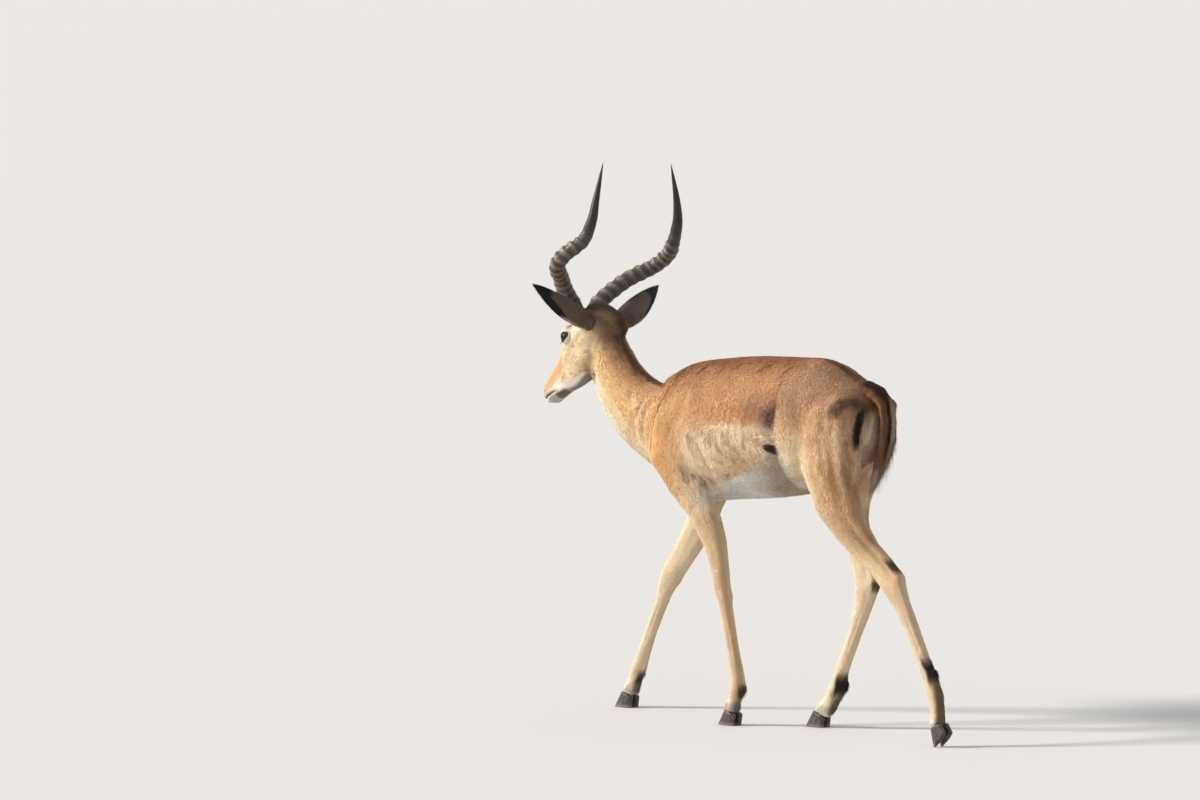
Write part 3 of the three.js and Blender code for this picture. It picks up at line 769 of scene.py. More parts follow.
def build_studio():
    """A pale floor, a bright even world and three soft lamps."""
    corners = [(-FLOOR, -FLOOR, 0), (FLOOR, -FLOOR, 0), (FLOOR, FLOOR, 0), (-FLOOR, FLOOR, 0)]
    floor = new_object("floor", new_mesh("floor", corners, [(0, 1, 2, 3)]))
    material, _, _ = new_material("floor", {"Base Color": (*FLOOR_COLOUR, 1), "Roughness": 0.9})
    floor.data.materials.append(material)
    world = bpy.data.worlds.new("studio")
    world.use_nodes = True
    tree = world.node_tree
    background = tree.nodes["Background"]
    paths = tree.nodes.new("ShaderNodeLightPath")
    strength = tree.nodes.new("ShaderNodeMix")
    set_inputs(strength, {"A": WORLD_LIGHT, "B": WORLD_SEEN})
    seen = paths.outputs["Is Camera Ray"]
    for ray in ("Is Glossy Ray", "Is Transmission Ray"):
        either = tree.nodes.new("ShaderNodeMath")
        either.operation = "MAXIMUM"
        tree.links.new(seen, either.inputs[0])
        tree.links.new(paths.outputs[ray], either.inputs[1])
        seen = either.outputs["Value"]
    tree.links.new(seen, strength.inputs["Factor"])
    tree.links.new(strength.outputs["Result"], background.inputs["Strength"])
    set_inputs(background, {"Color": (*WORLD_COLOUR, 1)})
    bpy.context.scene.world = world
    for lamp in LAMPS:
        sun(*lamp)
    bpy.context.scene.view_settings.view_transform = "Standard"


# ------------------------------------------------------------------------------ markings
SADDLE = rgb(212, 154, 104)
SADDLE_TOP_SHADE = rgb(132, 80, 52)
CROUP = rgb(184, 142, 106)
FLANK = rgb(246, 218, 180)
FLANK_SHADE = rgb(196, 156, 116)
WHITE = rgb(246, 239, 226)
SHOULDER = rgb(222, 168, 114)
NECK = rgb(244, 198, 143)
THROAT = rgb(250, 228, 194)
NAPE_DARK_AND_SHADE = rgb(98, 72, 54)
THIGH = rgb(208, 162, 116)
THIGH_PALE = rgb(246, 218, 180)
LEG_TAN = rgb(236, 202, 160)
LEG_PALE = rgb(240, 218, 182)
CHEEK = rgb(240, 212, 172)
CHIN = rgb(176, 166, 160)
JAW_SHADE = rgb(124, 106, 88)
BRIDGE = rgb(226, 172, 112)
BROWN = rgb(116, 80, 54)
HAZE = rgb(120, 90, 70)
BELLY_SHADE = rgb(176, 156, 136)
RUMP_WHITE_IN_SHADE = rgb(204, 168, 140)
DARK = rgb(66, 43, 30)
BLACK = rgb(20, 15, 13)
CROWN_DARK_AND_SHADE = rgb(82, 70, 60)
EAR_BACK = rgb(112, 94, 80)
TAIL_BROWN = rgb(138, 96, 62)
TAIL_PALE = rgb(186, 158, 130)


def soft_line(points, path, width, soft):
    """1 on a line, 0 beyond its width, through a soft edge."""
    distance, _ = path_distance(points, path)
    return 1 - smoothstep(width - soft, width + soft, distance)


def soft_spot(flat, at, half, soft, tilt=0.0):
    """1 inside an ellipse seen from the side, 0 outside, through an edge that is soft by a share."""
    apart = flat - at
    c, s = math.cos(tilt), math.sin(tilt)
    apart = np.stack([apart[:, 0] * c + apart[:, 1] * s, apart[:, 1] * c - apart[:, 0] * s], 1)
    return 1 - smoothstep(1 - soft, 1 + soft, np.linalg.norm(apart / half, axis=1))


def from_spot(place, at, half):
    """How far places lie from a spot, in its half sizes."""
    return np.linalg.norm((place - at) / half, axis=1)


def band_round(value, middle, half, power=4):
    """1 in the middle of a band, fading to 0 beyond its half width."""
    return np.exp(-(((value - middle) / half) ** power))


def ripple(points, size, seed):
    """A smooth random value, about -1 to 1, that varies over the given size."""
    draw = np.random.default_rng(seed)
    total = np.zeros(len(points))
    for _ in range(7):
        way = draw.normal(size=3)
        way *= 2 * math.pi / (size * draw.uniform(0.7, 1.9) * np.linalg.norm(way))
        total += np.sin(points @ way + draw.uniform(0, 7))
    return total / 2.6


# Lines across the side view, x to z: the saddle's lower border, and the belly's upper border.
SADDLE_BORDER = (
    (-0.40, 0.740),
    (-0.20, 0.735),
    (-0.08, 0.745),
    (0.00, 0.757),
    (0.10, 0.758),
    (0.17, 0.762),
)
BELLY_BORDER = (
    (-0.16, 0.545),
    (-0.075, 0.590),
    (0.00, 0.618),
    (0.06, 0.640),
    (0.11, 0.664),
    (0.15, 0.692),
    (0.20, 0.715),
    (0.30, 0.700),
)

# Spots seen from the side: place and half size as (x, z), softness, and a tilt where there is one.
SIDE_SPOTS = {
    "shoulder top shade": ((-0.165, 0.830), (0.060, 0.075), 0.7),
    "hip": ((0.153, 0.776), (0.028, 0.032), 0.6),
    "hip haze": ((0.118, 0.790), (0.068, 0.036), 0.8),
    "flank fold": ((0.160, 0.7005), (0.027, 0.0115), 0.18, -0.15),
    "thigh": ((0.262, 0.592), (0.009, 0.020), 0.7, 0.5),
    "elbow_shade": ((-0.116, 0.614), (0.048, 0.015), 0.9, -0.30),
    "above elbow": ((-0.155, 0.680), (0.070, 0.085), 0.8),
}
# Spots on the head, in its own frame and mirrored: place and half sizes.
HEAD_SPOTS = {
    "eye": ((EYE_ALONG, 0.052, EYE_UP + 0.002), (0.034, 0.03, 0.024)),
    "cheek": ((0.118, 0.050, -0.086), (0.034, 0.05, 0.030)),
    "gland": ((0.146, 0.045, 0.002), (0.013, 0.02, 0.004)),
    "ear foot": ((EYE_ALONG - 0.046, 0.050, EYE_UP - 0.008), (0.017, 0.04, 0.013)),
    "brow": ((0.092, 0.050, 0.030), (0.010, 0.02, 0.0035)),
    "chin": ((0.282, 0.0, -0.050), (0.020, 0.04, 0.014)),
}
# Borders between colours, and a width, each as two rows: the second is read from the first.
# z to x: where the thigh begins behind the flank
THIGH_START = ((0.55, 0.60, 0.65, 0.69, 0.72), (0.235, 0.194, 0.180, 0.172, 0.166))
# z to x: where the thigh's pale front ends
THIGH_FRONT = ((0.54, 0.60, 0.70, 0.80), (0.310, 0.270, 0.238, 0.195))
# z to half width: the white between the buttocks
RUMP_PATCH = ((0.50, 0.62, 0.69, 0.735, 0.80, 0.84), (0.045, 0.050, 0.064, 0.036, 0.022, 0.0))
# share of the stripe to half width
STRIPE_WIDTH = ((0, 0.2, 0.45, 0.8, 1), (0.006, 0.0115, 0.0155, 0.010, 0.002))
THROAT_LINE = ((-0.55, -0.45, -0.35, -0.28), (0.80, 0.70, 0.62, 0.56))  # x to z
NAPE_LINE = ((-0.52, -0.46, -0.40, -0.30, -0.20), (1.00, 0.905, 0.845, 0.845, 0.90))  # x to z
# z to the place across, -1 to 1, of its black line
TAIL_LINE = ((0.64, 0.68, 0.72, 0.80), (-0.95, -0.50, -0.28, -0.16))
# z to x: the tail is white in front of this
TAIL_FRONT = ((0.62, 0.66, 0.70, 0.74, 0.80, 0.86), (0.400, 0.412, 0.430, 0.440, 0.440, 0.38))
# along to up: the orange band's lower edge
NOSE_BAND = ((0.16, 0.20, 0.225, 0.27, 0.31), (0.006, -0.014, -0.020, -0.021, -0.018))
# along to up: the white jaw's upper edge
JAW_LINE = ((0.10, 0.15, 0.20, 0.24), (-0.100, -0.083, -0.068, -0.048))
# along to how far above that its shade begins
JAW_SHADE_LIFT = ((0.12, 0.15, 0.20, 0.25), (0.016, 0.006, -0.003, -0.006))
BELLY_X = (0.04, 0.17)  # between these the white of the belly falls into shade

CREASE_WIDTH = 0.0036
# Thin lines of painted shade along folds of skin, and how dark each is.
CREASE_SHADE_LINES = (
    *((path, dark) for path, _, dark in BACK_FOLDS),
    (((-0.124, 0.884), (-0.140, 0.877), (-0.156, 0.858)), 0.85),
    (((0.166, 0.875), (0.161, 0.83), (0.163, 0.79)), 0.60),
    (((-0.200, 0.892), (-0.223, 0.856), (-0.241, 0.822), (-0.261, 0.786), (-0.282, 0.731)), 0.80),
    (((-0.186, 0.880), (-0.206, 0.845), (-0.222, 0.800)), 0.35),
    (((-0.268, 0.800), (-0.290, 0.750), (-0.300, 0.700)), 0.40),
    (((-0.300, 0.815), (-0.314, 0.76)), 0.40),
    (((-0.110, 0.720), (-0.085, 0.67), (-0.060, 0.62)), 0.40),
)


def trunk_marks(side_view, across, noise, streak):
    """Saddle, flank, belly and the marks on them. side_view is (x, z)."""
    x, z = side_view.T
    # painted shade: the top of the back and the top of the shoulder are darker, where the light grazes them
    top = smoothstep(0.095, 0.02, across) * smoothstep(0.79, 0.88, z)
    top = np.maximum(top, 0.45 * soft_spot(side_view, *SIDE_SPOTS["shoulder top shade"]))
    colour = mixed(painted(SADDLE, len(x)), SADDLE_TOP_SHADE, 0.80 * top)
    colour = mixed(colour, CROUP, smoothstep(0.13, 0.27, x) * 0.9)
    colour = mixed(colour, SHOULDER, smoothstep(-0.06, -0.19, x) * smoothstep(0.88, 0.76, z))
    border = np.interp(x, *np.array(SADDLE_BORDER).T) + 0.0025 * noise + 0.002 * streak
    soft = 0.009 + 0.045 * smoothstep(-0.03, -0.14, x)
    flank = smoothstep(border + soft, border - soft, z) * smoothstep(-0.24, -0.10, x)
    low = smoothstep(0.725, 0.665, z) * smoothstep(-0.08, 0.03, x)
    tan = mixed(painted(FLANK, len(x)), FLANK_SHADE, 0.55 * low)
    mottled = smoothstep(0.755, 0.715, z) * smoothstep(-0.10, -0.04, x)
    tan = mixed(tan, BROWN, (0.12 + 0.36 * mottled + 0.12 * low) * smoothstep(0.0, 1.6, streak))
    colour = mixed(colour, tan, flank * smoothstep(0.27, 0.19, x))
    belly = np.interp(x, *np.array(BELLY_BORDER).T) + 0.003 * noise + 0.003 * streak
    white = smoothstep(belly + 0.010, belly - 0.010, z) * smoothstep(-0.13, -0.075, x)
    colour = mixed(colour, mixed(painted(WHITE, len(x)), BELLY_SHADE, smoothstep(*BELLY_X, x)), white)
    chest = smoothstep(0.045, 0.015, across) * smoothstep(0.64, 0.58, z) * smoothstep(-0.05, -0.16, x)
    colour = mixed(colour, THROAT, 0.7 * chest)
    mark = soft_spot(side_view, *SIDE_SPOTS["hip"]) * smoothstep(0.176, 0.165, x)
    haze = soft_spot(side_view, *SIDE_SPOTS["hip haze"]) * smoothstep(0.176, 0.165, x)
    colour = mixed(colour, HAZE, 0.60 * haze * (0.8 + 0.2 * streak).clip(0, 1.6))
    colour = mixed(colour, DARK, 0.85 * mark)
    spot = soft_spot(side_view, *SIDE_SPOTS["flank fold"])
    colour = mixed(colour, BLACK, spot)
    width = 0.006 + 0.018 * smoothstep(0.24, 0.42, x)
    behind = smoothstep(0.25, 0.50, x)
    spine = smoothstep(width + 0.007, width - 0.004, across) * smoothstep(0.86, 0.89, z + 0.35 * behind)
    return mixed(colour, DARK, 0.85 * spine * smoothstep(0.05, 0.34, x))


# The pale line along the thigh's front edge, seen from the side.
THIGH_EDGE = ((0.176, 0.690), (0.198, 0.640), (0.232, 0.590), (0.272, 0.545))
# Seen from behind and the side, (x, out from the middle, z): the black stripe down each buttock.
STRIPE = (
    (0.406, 0.040, 0.806),
    (0.409, 0.053, 0.790),
    (0.412, 0.066, 0.757),
    (0.414, 0.076, 0.725),
    (0.416, 0.084, 0.698),
)
# The dark fold above it, and the thin line above that, which runs into the tail's middle line.
BROW = ((0.368, 0.098, 0.806), (0.382, 0.084, 0.824), (0.400, 0.055, 0.830), (0.418, 0.025, 0.826))
BROW_LINE = ((0.350, 0.062, 0.868), (0.380, 0.050, 0.858), (0.415, 0.034, 0.847), (0.438, 0.018, 0.836))


def rump_marks(points, normals, across, streak):
    """The thigh and buttock: fawn, pale in front, white behind a black stripe."""
    x, z = points[:, 0], points[:, 2]
    side_view = points[:, (0, 2)]
    colour = mixed(painted(THIGH, len(x)), CROUP, 0.9 * smoothstep(0.74, 0.85, z))
    # the thigh's pale front: partly its own paler coat, partly painted light where it faces the light
    front = np.interp(z, *THIGH_FRONT)
    colour = mixed(colour, THIGH_PALE, smoothstep(front + 0.10, front, x) * smoothstep(0.80, 0.68, z))
    colour = mixed(colour, LEG_TAN, 0.7 * smoothstep(0.60, 0.47, z))
    rear = smoothstep(0.27, 0.35, x) * smoothstep(0.82, 0.74, z) * smoothstep(0.58, 0.66, z)
    columns = 0.5 + 0.5 * np.sin(2 * math.pi * (x + 0.12 * (z - 0.7)) / 0.036 + 0.8 * ripple(points, 0.05, 8))
    colour = mixed(colour, HAZE, (0.06 + 0.42 * smoothstep(-0.3, 1.4, streak + columns - 0.5)) * rear)
    colour = mixed(colour, THIGH_PALE, 0.60 * smoothstep(0.2, 1.6, 1.0 - columns - streak) * rear)
    edge = soft_line(side_view, THIGH_EDGE, 0.011, 0.010)
    colour = mixed(colour, WHITE, 0.75 * edge * smoothstep(0.70, 0.68, z))
    colour = mixed(colour, DARK, 0.55 * soft_spot(side_view, *SIDE_SPOTS["thigh"]))
    inner = np.interp(z, *RUMP_PATCH)
    white = smoothstep(inner + 0.010, inner - 0.004, across) * smoothstep(0.30, 0.36, x)
    white = white * smoothstep(0.46, 0.56, z) * smoothstep(-0.1, 0.25, normals[:, 0])
    # the white between the buttocks, painted as a tan in shade
    colour = mixed(colour, RUMP_WHITE_IN_SHADE, white)
    # painted highlight: a thin line of bright white along the patch's inner edge
    rim_highlight = band_round(across, inner, 0.0035, 2) * white * smoothstep(0.80, 0.79, z)
    colour = mixed(colour, WHITE, 0.9 * rim_highlight)
    place = np.stack([x, across, z], 1)
    colour = mixed(colour, DARK, 0.86 * soft_line(place, BROW, 0.0175 + 0.002 * streak, 0.011))
    colour = mixed(colour, DARK, 0.80 * soft_line(place, BROW_LINE, 0.0035, 0.003))
    around = soft_line(place, STRIPE[:2], 0.022 + 0.003 * streak, 0.012)
    colour = mixed(colour, BROWN, 0.60 * around)
    distance, share = path_distance(place, STRIPE)
    width = np.interp(share, *STRIPE_WIDTH) + 0.0024 * streak
    stripe = smoothstep(width + 0.007, width - 0.004, distance)
    return mixed(colour, BLACK, stripe * smoothstep(1.0, 0.70, share))


def neck_marks(points, across, streak):
    """Orange fawn, pale at the throat, dark along the nape."""
    x, z = points[:, 0], points[:, 2]
    throat = np.interp(x, *THROAT_LINE)
    nape = np.interp(x, *NAPE_LINE)
    level = np.clip((z - throat) / (nape - throat), 0, 1.3)
    colour = mixed(painted(NECK, len(x)), THROAT, smoothstep(0.60, 0.10, level))
    colour = mixed(colour, SADDLE, 0.40 * smoothstep(0.55, 0.9, level))
    # the dark strip along the nape: partly its own darker hair, partly painted shade where the neck turns
    # from the light
    strip = smoothstep(0.032, 0.006, across + 0.004 * streak) * smoothstep(0.62, 0.9, level)
    colour = mixed(colour, NAPE_DARK_AND_SHADE, 0.92 * strip * smoothstep(-0.24, -0.33, x))
    # up behind the ears the neck takes the crown's colour, partly painted shade
    top = smoothstep(0.86, 0.97, z) * smoothstep(0.45, 0.85, level)
    return mixed(colour, CROWN_DARK_AND_SHADE, 0.75 * top)


def share_of(shares, *names):
    """How much each point belongs to the named nodes."""
    return np.clip(sum(shares[:, FLESH.index(name)] for name in names), 0, 1)


def markings(points, normals, shares, streak, legs):
    """The coat's colour at each point of the skin, as linear light.

    shares tells how much of each node of flesh a point belongs to, and streak how its hairs run
    lighter or darker than their neighbours.
    """
    across = np.abs(points[:, 1] - MID_Y)
    side_view = points[:, (0, 2)]
    x, z = side_view.T
    noise = ripple(points, 0.022, 3)
    hind = share_of(shares, "leg_left_hind", "leg_right_hind")
    trunk = trunk_marks(side_view, across, noise, streak)
    edge = np.interp(z, *THIGH_START) + 0.002 * streak
    behind = smoothstep(edge - 0.005, edge + 0.009, x) * smoothstep(0.90, 0.80, z + 0.1 * (0.2 - x))
    behind = behind * smoothstep(0.03, 0.06, across + smoothstep(0.60, 0.70, z))
    colour = mixed(trunk, rump_marks(points, normals, across, streak), np.maximum(hind, behind))
    shoulder = mixed(painted(SHOULDER, len(x)), NECK, 0.6 * smoothstep(-0.24, -0.32, x))
    shoulder = mixed(shoulder, THROAT, 0.5 * smoothstep(-0.30, -0.37, x))
    blend = smoothstep(-0.13, -0.22, x) * smoothstep(0.88, 0.74, z) * (1 - hind)
    colour = mixed(colour, shoulder, 0.75 * blend)
    neck_share = share_of(shares, "neck", "head")
    neck_share = np.maximum(neck_share, smoothstep(-0.24, -0.36, x) * share_of(shares, "trunk"))
    colour = mixed(colour, neck_marks(points, across, streak), neck_share)
    colour = leg_marks(points, shares, legs, colour, streak)
    # painted shade behind the elbow and on the shoulder just above the leg
    elbow_shade = soft_spot(side_view, *SIDE_SPOTS["elbow_shade"]) * smoothstep(0.03, 0.06, across)
    colour = mixed(colour, DARK, 0.75 * elbow_shade * smoothstep(-1.0, 1.0, streak))
    above = soft_spot(side_view, *SIDE_SPOTS["above elbow"]) * smoothstep(0.03, 0.06, across)
    colour = mixed(colour, BROWN, 0.52 * above * smoothstep(-0.2, 1.4, streak))
    # painted shade along the folds of skin
    crease_shade = np.zeros(len(x))
    for path, strength in CREASE_SHADE_LINES:
        distance, share = path_distance(side_view, path)
        ends = smoothstep(0, 0.25, share) * smoothstep(0, 0.25, 1 - share)
        thin = CREASE_WIDTH * (1 + 0.25 * streak.clip(-1.5, 1.5))
        crease_shade = np.maximum(crease_shade, np.exp(-((distance / thin) ** 2)) * ends * strength)
    colour = mixed(colour, DARK, crease_shade * smoothstep(0.012, 0.030, across))
    colour = tail_marks(points, share_of(shares, "tail"), colour)
    colour = head_marks(points, share_of(shares, "head"), colour, streak)
    shade = 1 + 0.035 * ripple(points, 0.09, 4) + 0.030 * noise
    return np.clip(colour * shade[:, None], 0, 1)


# The height of each leg's dark tuft above the fetlock, and of each hock's point.
TUFT_HEIGHTS = {"left_fore": 0.088, "right_fore": 0.080, "left_hind": 0.186, "right_hind": 0.110}
HOCK_HEIGHTS = {"left_hind": 0.434, "right_hind": 0.362}
HIND_TUFT, FORE_TUFT, HOCK_MARK = 0.030, 0.018, 0.016  # half the height of each


def leg_marks(points, shares, legs, colour, streak):
    """Tan outside and pale inside, with dark tufts at the fetlocks and the hocks."""
    for leg in LEGS:
        own = share_of(shares, "leg_" + leg)
        height, back, out = leg_place(points, leg, legs[leg])
        tuft, hock = TUFT_HEIGHTS[leg], HOCK_HEIGHTS.get(leg)
        low = smoothstep(0.60, 0.50, height)
        inner = smoothstep(0.35, -0.30, out) * smoothstep(0.60, 0.52, height)
        shank = mixed(painted(LEG_TAN, len(points)), LEG_PALE, inner)
        shank = mixed(shank, LEG_PALE, 0.45 * smoothstep(0.25, -0.6, back))
        shank = mixed(shank, THIGH, 0.35 * smoothstep(0.2, 0.9, back) * smoothstep(-0.2, 0.4, out))
        if leg.endswith("hind"):
            above = smoothstep(hock - 0.02, hock + 0.06, height) * smoothstep(-0.4, 0.3, out)
            shank = mixed(shank, THIGH * 0.85, 0.8 * above * smoothstep(-0.9, 0.2, back))
            shank = mixed(shank, LEG_PALE, 0.45 * smoothstep(hock - 0.04, hock - 0.09, height))
        shank = mixed(shank, WHITE, 0.6 * smoothstep(0.085, 0.055, height))
        colour = mixed(colour, shank, low * own)
        if leg.endswith("hind"):
            patch = band_round(height, tuft, HIND_TUFT) * smoothstep(-0.15, 0.25, back + 0.05 * streak)
            point = band_round(height, hock, HOCK_MARK) * smoothstep(0.62, 0.80, back + 0.05 * streak)
            colour = mixed(colour, BLACK, np.maximum(patch, 0.9 * point) * own)
            pastern = smoothstep(0.3, 0.8, back) * smoothstep(tuft - 0.02, tuft - 0.04, height)
            colour = mixed(colour, DARK, 0.8 * pastern * own)
            # painted shade in the groove between the tendon and the bone, from the thigh down to the hock
            groove_shade = band_round(back, 0.42, 0.14, 2) * band_round(height, 0.47, 0.06)
            colour = mixed(colour, DARK, 0.35 * groove_shade * smoothstep(0.1, 0.5, out) * own)
        else:
            patch = band_round(height, tuft, FORE_TUFT) * smoothstep(0.35, 0.7, back + 0.05 * streak)
            colour = mixed(colour, BLACK, 0.9 * patch * own)
            pastern = smoothstep(0.5, 0.9, back) * smoothstep(tuft, tuft - 0.02, height)
            colour = mixed(colour, DARK, 0.6 * pastern * own)
    return colour


def tail_marks(points, share, colour):
    """Brown on top with a black middle line, pale at its edges, white below and at the tip."""
    across = (points[:, 1] - MID_Y) / 0.026
    z = points[:, 2]
    curve = np.interp(z, *TAIL_LINE)
    # beyond its black line the tail is paler: partly its pale fringe, partly painted light on the side the
    # light falls on
    tail = mixed(painted(TAIL_BROWN, len(z)), TAIL_PALE, smoothstep(0.10, 0.35, across - curve))
    tail = mixed(tail, TAIL_PALE, 0.5 * smoothstep(-0.80, -1.0, across))
    tail = mixed(tail, BLACK, smoothstep(0.24, 0.13, np.abs(across - curve)) * smoothstep(0.64, 0.67, z))
    tail = mixed(tail, DARK, 0.85 * smoothstep(0.62, 0.80, across) * smoothstep(0.69, 0.73, z))
    tail = mixed(tail, WHITE, smoothstep(0.690, 0.650, z))
    front = np.interp(z, *TAIL_FRONT)
    before = smoothstep(front + 0.006, front - 0.004, points[:, 0])
    tail = mixed(tail, WHITE, before * smoothstep(0.81, 0.78, z))
    tail = mixed(tail, DARK, smoothstep(0.82, 0.85, z) * smoothstep(-0.75, -0.35, across))
    return mixed(colour, tail, share)


def head_marks(points, share, colour, streak):
    """Fawn and white with a dark crown, an orange nose and black round the eyes, nostrils and mouth."""
    place = to_half_head(points)
    along, out, up = place.T
    face = painted(CHEEK, len(points))
    face = mixed(face, BROWN, 0.46 * smoothstep(0.3, 1.6, streak) * smoothstep(0.05, 0.09, along))
    # the forehead is fawn, the crown and the brow between the horns darker; the crown's dark is partly its
    # own hair and partly painted shade
    face = mixed(face, NECK, 0.8 * smoothstep(-0.02, 0.02, up) * smoothstep(0.042, 0.022, out))
    crown = smoothstep(0.075, 0.045, along) * smoothstep(-0.05, 0.0, up)
    face = mixed(face, CROWN_DARK_AND_SHADE, crown)
    forehead = smoothstep(0.022, 0.006, out) * smoothstep(0.015, 0.03, up) * smoothstep(0.03, 0.05, along)
    face = mixed(face, DARK, 0.75 * forehead * smoothstep(0.135, 0.10, along))
    # the orange band down each side of the nose, and the bridge between
    band = smoothstep(0.150, 0.195, along) * smoothstep(0.312, 0.300, along)
    edge = np.interp(along, *NOSE_BAND)
    edge = edge + 0.0010 * streak - 0.005
    face = mixed(face, BRIDGE, band * smoothstep(edge - 0.005, edge + 0.007, up))
    bridge = smoothstep(0.020, 0.008, out) * smoothstep(0.11, 0.15, along) * smoothstep(-0.02, 0.0, up)
    face = mixed(face, BRIDGE, 0.85 * bridge)
    # white: round the eye, the upper lip, the chin and the lower jaw
    eye = from_spot(place, *HEAD_SPOTS["eye"])
    face = mixed(face, THROAT, 0.65 * smoothstep(1.2, 0.75, eye))
    jaw_edge = np.interp(along, *JAW_LINE)
    jaw = smoothstep(jaw_edge + 0.014, jaw_edge + 0.002, up) * smoothstep(0.10, 0.15, along)
    face = mixed(face, WHITE, 0.85 * jaw)
    shade_top = jaw_edge + np.interp(along, *JAW_SHADE_LIFT)
    under = smoothstep(shade_top, shade_top - 0.008, up) * smoothstep(0.10, 0.14, along)
    face = mixed(face, JAW_SHADE, 0.9 * under * smoothstep(0.268, 0.250, along))
    cheek = from_spot(place, *HEAD_SPOTS["cheek"])
    face = mixed(face, THIGH, 0.50 * smoothstep(1.3, 0.5, cheek + 0.12 * streak))
    lip = smoothstep(0.215, 0.245, along) * smoothstep(edge - 0.001, edge - 0.010, up)
    face = mixed(face, WHITE, lip)
    # dark: before the eye, the mark above it, the nose, nostrils, mouth and the mouth's corner
    gland = from_spot(place, *HEAD_SPOTS["gland"])
    face = mixed(face, BROWN, 0.45 * smoothstep(1.4, 0.6, gland))
    pale = from_spot(place, *HEAD_SPOTS["ear foot"])
    face = mixed(face, WHITE, 0.75 * smoothstep(1.3, 0.6, pale + 0.1 * streak))
    mark = from_spot(place, *HEAD_SPOTS["brow"])
    face = mixed(face, DARK, 0.6 * smoothstep(1.5, 0.7, mark))
    corner, _ = from_line(place, MOUTH_CORNER)
    face = mixed(face, BROWN * 0.75, 0.92 * smoothstep(0.0150, 0.0070, corner + 0.001 * streak))
    chin = from_spot(place, *HEAD_SPOTS["chin"])
    face = mixed(face, CHIN, 0.85 * smoothstep(1.4, 0.6, chin))
    nose = smoothstep(0.0100, 0.0070, out) * smoothstep(0.293, 0.298, along) * smoothstep(-0.004, -0.009, up)
    face = mixed(face, BLACK, nose * smoothstep(-0.030, -0.024, up))
    # painted shade: the nostrils' holes and the groove of the mouth, both pressed into the skin, are painted
    # black
    nostril, _ = from_line(place, NOSTRIL)
    face = mixed(face, BLACK, smoothstep(0.0050, 0.0032, nostril))
    mouth, _ = from_line(place, MOUTH)
    face = mixed(face, BLACK, 0.95 * smoothstep(0.0036, 0.0018, mouth))
    opening = lid_distance(points)
    # a pale ring round the lids: partly its own pale hair, partly painted light that lifts the hollow where
    # the skin wraps the ball
    face = mixed(face, WHITE, 0.85 * smoothstep(2.3, 1.6, opening))
    face = mixed(face, BLACK, smoothstep(1.24, 1.12, opening))
    return mixed(colour, face, share * smoothstep(-0.02, 0.06, along + 0.3 * up))


# ------------------------------------------------------------------------------ the coat
# For each node: a tuft's length, width and height.
TUFTS = {
    "head": (0.0050, 0.0009, 0.0011),
    "neck": (0.0130, 0.0018, 0.0030),
    "trunk": (0.0125, 0.0018, 0.0030),
    "tail": (0.0160, 0.0014, 0.0036),
    "leg": (0.0120, 0.0016, 0.0028),
}
LOWER_TUFT = (0.0055, 0.0009, 0.0009)
# For each node: the way its hair lies; on the legs it then follows their bends.
HAIR_WAYS = {
    "head": -HEAD_ALONG,
    "neck": (0.55, 0, -0.80),
    "trunk": (1.0, 0, -0.30),
    "tail": (0.15, 0, -1.0),
    "leg": (0.22, 0, -1.0),
}
TUFTS_PER_PIECE = 38_000  # on a piece whose share is 1
COAT_SHARE = {"head": 1.0, "neck": 0.95, "trunk": 1.0, "tail": 0.2, "leg": 0.85}
STREAK_TONE = {"head": 0.065, "neck": 0.125, "trunk": 0.125, "tail": 0.08, "leg": 0.105}
UNDERCOAT_TONE = 0.92  # the skin is a little darker than the tufts on it


def hair_ways(points, normals, labels, legs, table):
    """The way the hair lies at each point: along the surface, and eased from part to part."""
    ways = by_node(HAIR_WAYS, labels)
    # on the upper trunk it lies flatter, on the chest and the thigh it hangs
    x, _, z = points.T
    is_trunk = labels == FLESH.index("trunk")
    hang = smoothstep(-0.10, -0.30, x) * smoothstep(0.85, 0.70, z) + 0.6 * smoothstep(0.16, 0.30, x)
    ways[:, 2] -= 0.8 * hang * is_trunk * smoothstep(0.90, 0.80, z)
    for leg in LEGS:
        own = labels == FLESH.index("leg_" + leg)
        slope = np.interp(z, LEVELS, np.gradient(legs[leg][:, 0], LEVELS))
        slope = np.where(z > 0.56, -0.25, slope)
        ways[own] = np.stack([-slope, np.zeros(len(z)), np.full(len(z), -1.0)], 1)[own]
    ways = smoothed(unit(ways), table, HAIR_BLEND)
    ways = ways - normals * (ways * normals).sum(1)[:, None]
    return unit(ways)


def soft_shares(labels, table):
    """For each point, how much it belongs to each node of flesh, eased where nodes meet."""
    shares = (labels[:, None] == np.arange(len(FLESH))).astype(float)
    times = np.where(labels == FLESH.index("tail"), TAIL_BLEND, HAIR_BLEND)
    return smoothed(shares, table, times)


def streaks_along(points, ways, table):
    """Random light and dark streaks that run along the hair's way, about -2 to 2."""
    values = rng.normal(size=len(points))
    weights = []
    for column in table.T:
        edge = points[column] - points
        length = np.maximum(np.linalg.norm(edge, axis=1), 1e-9)
        weights.append(np.abs((edge * ways).sum(1) / length) ** 8 * (length > 1e-8))
    total = sum(weights) + 0.25
    for _ in range(7):
        values = (0.25 * values + sum(w * values[c] for w, c in zip(weights, table.T))) / total
    values = values / values.std() + 0.45 * rng.normal(size=len(points))
    return np.clip(values / values.std(), -2.4, 2.4)


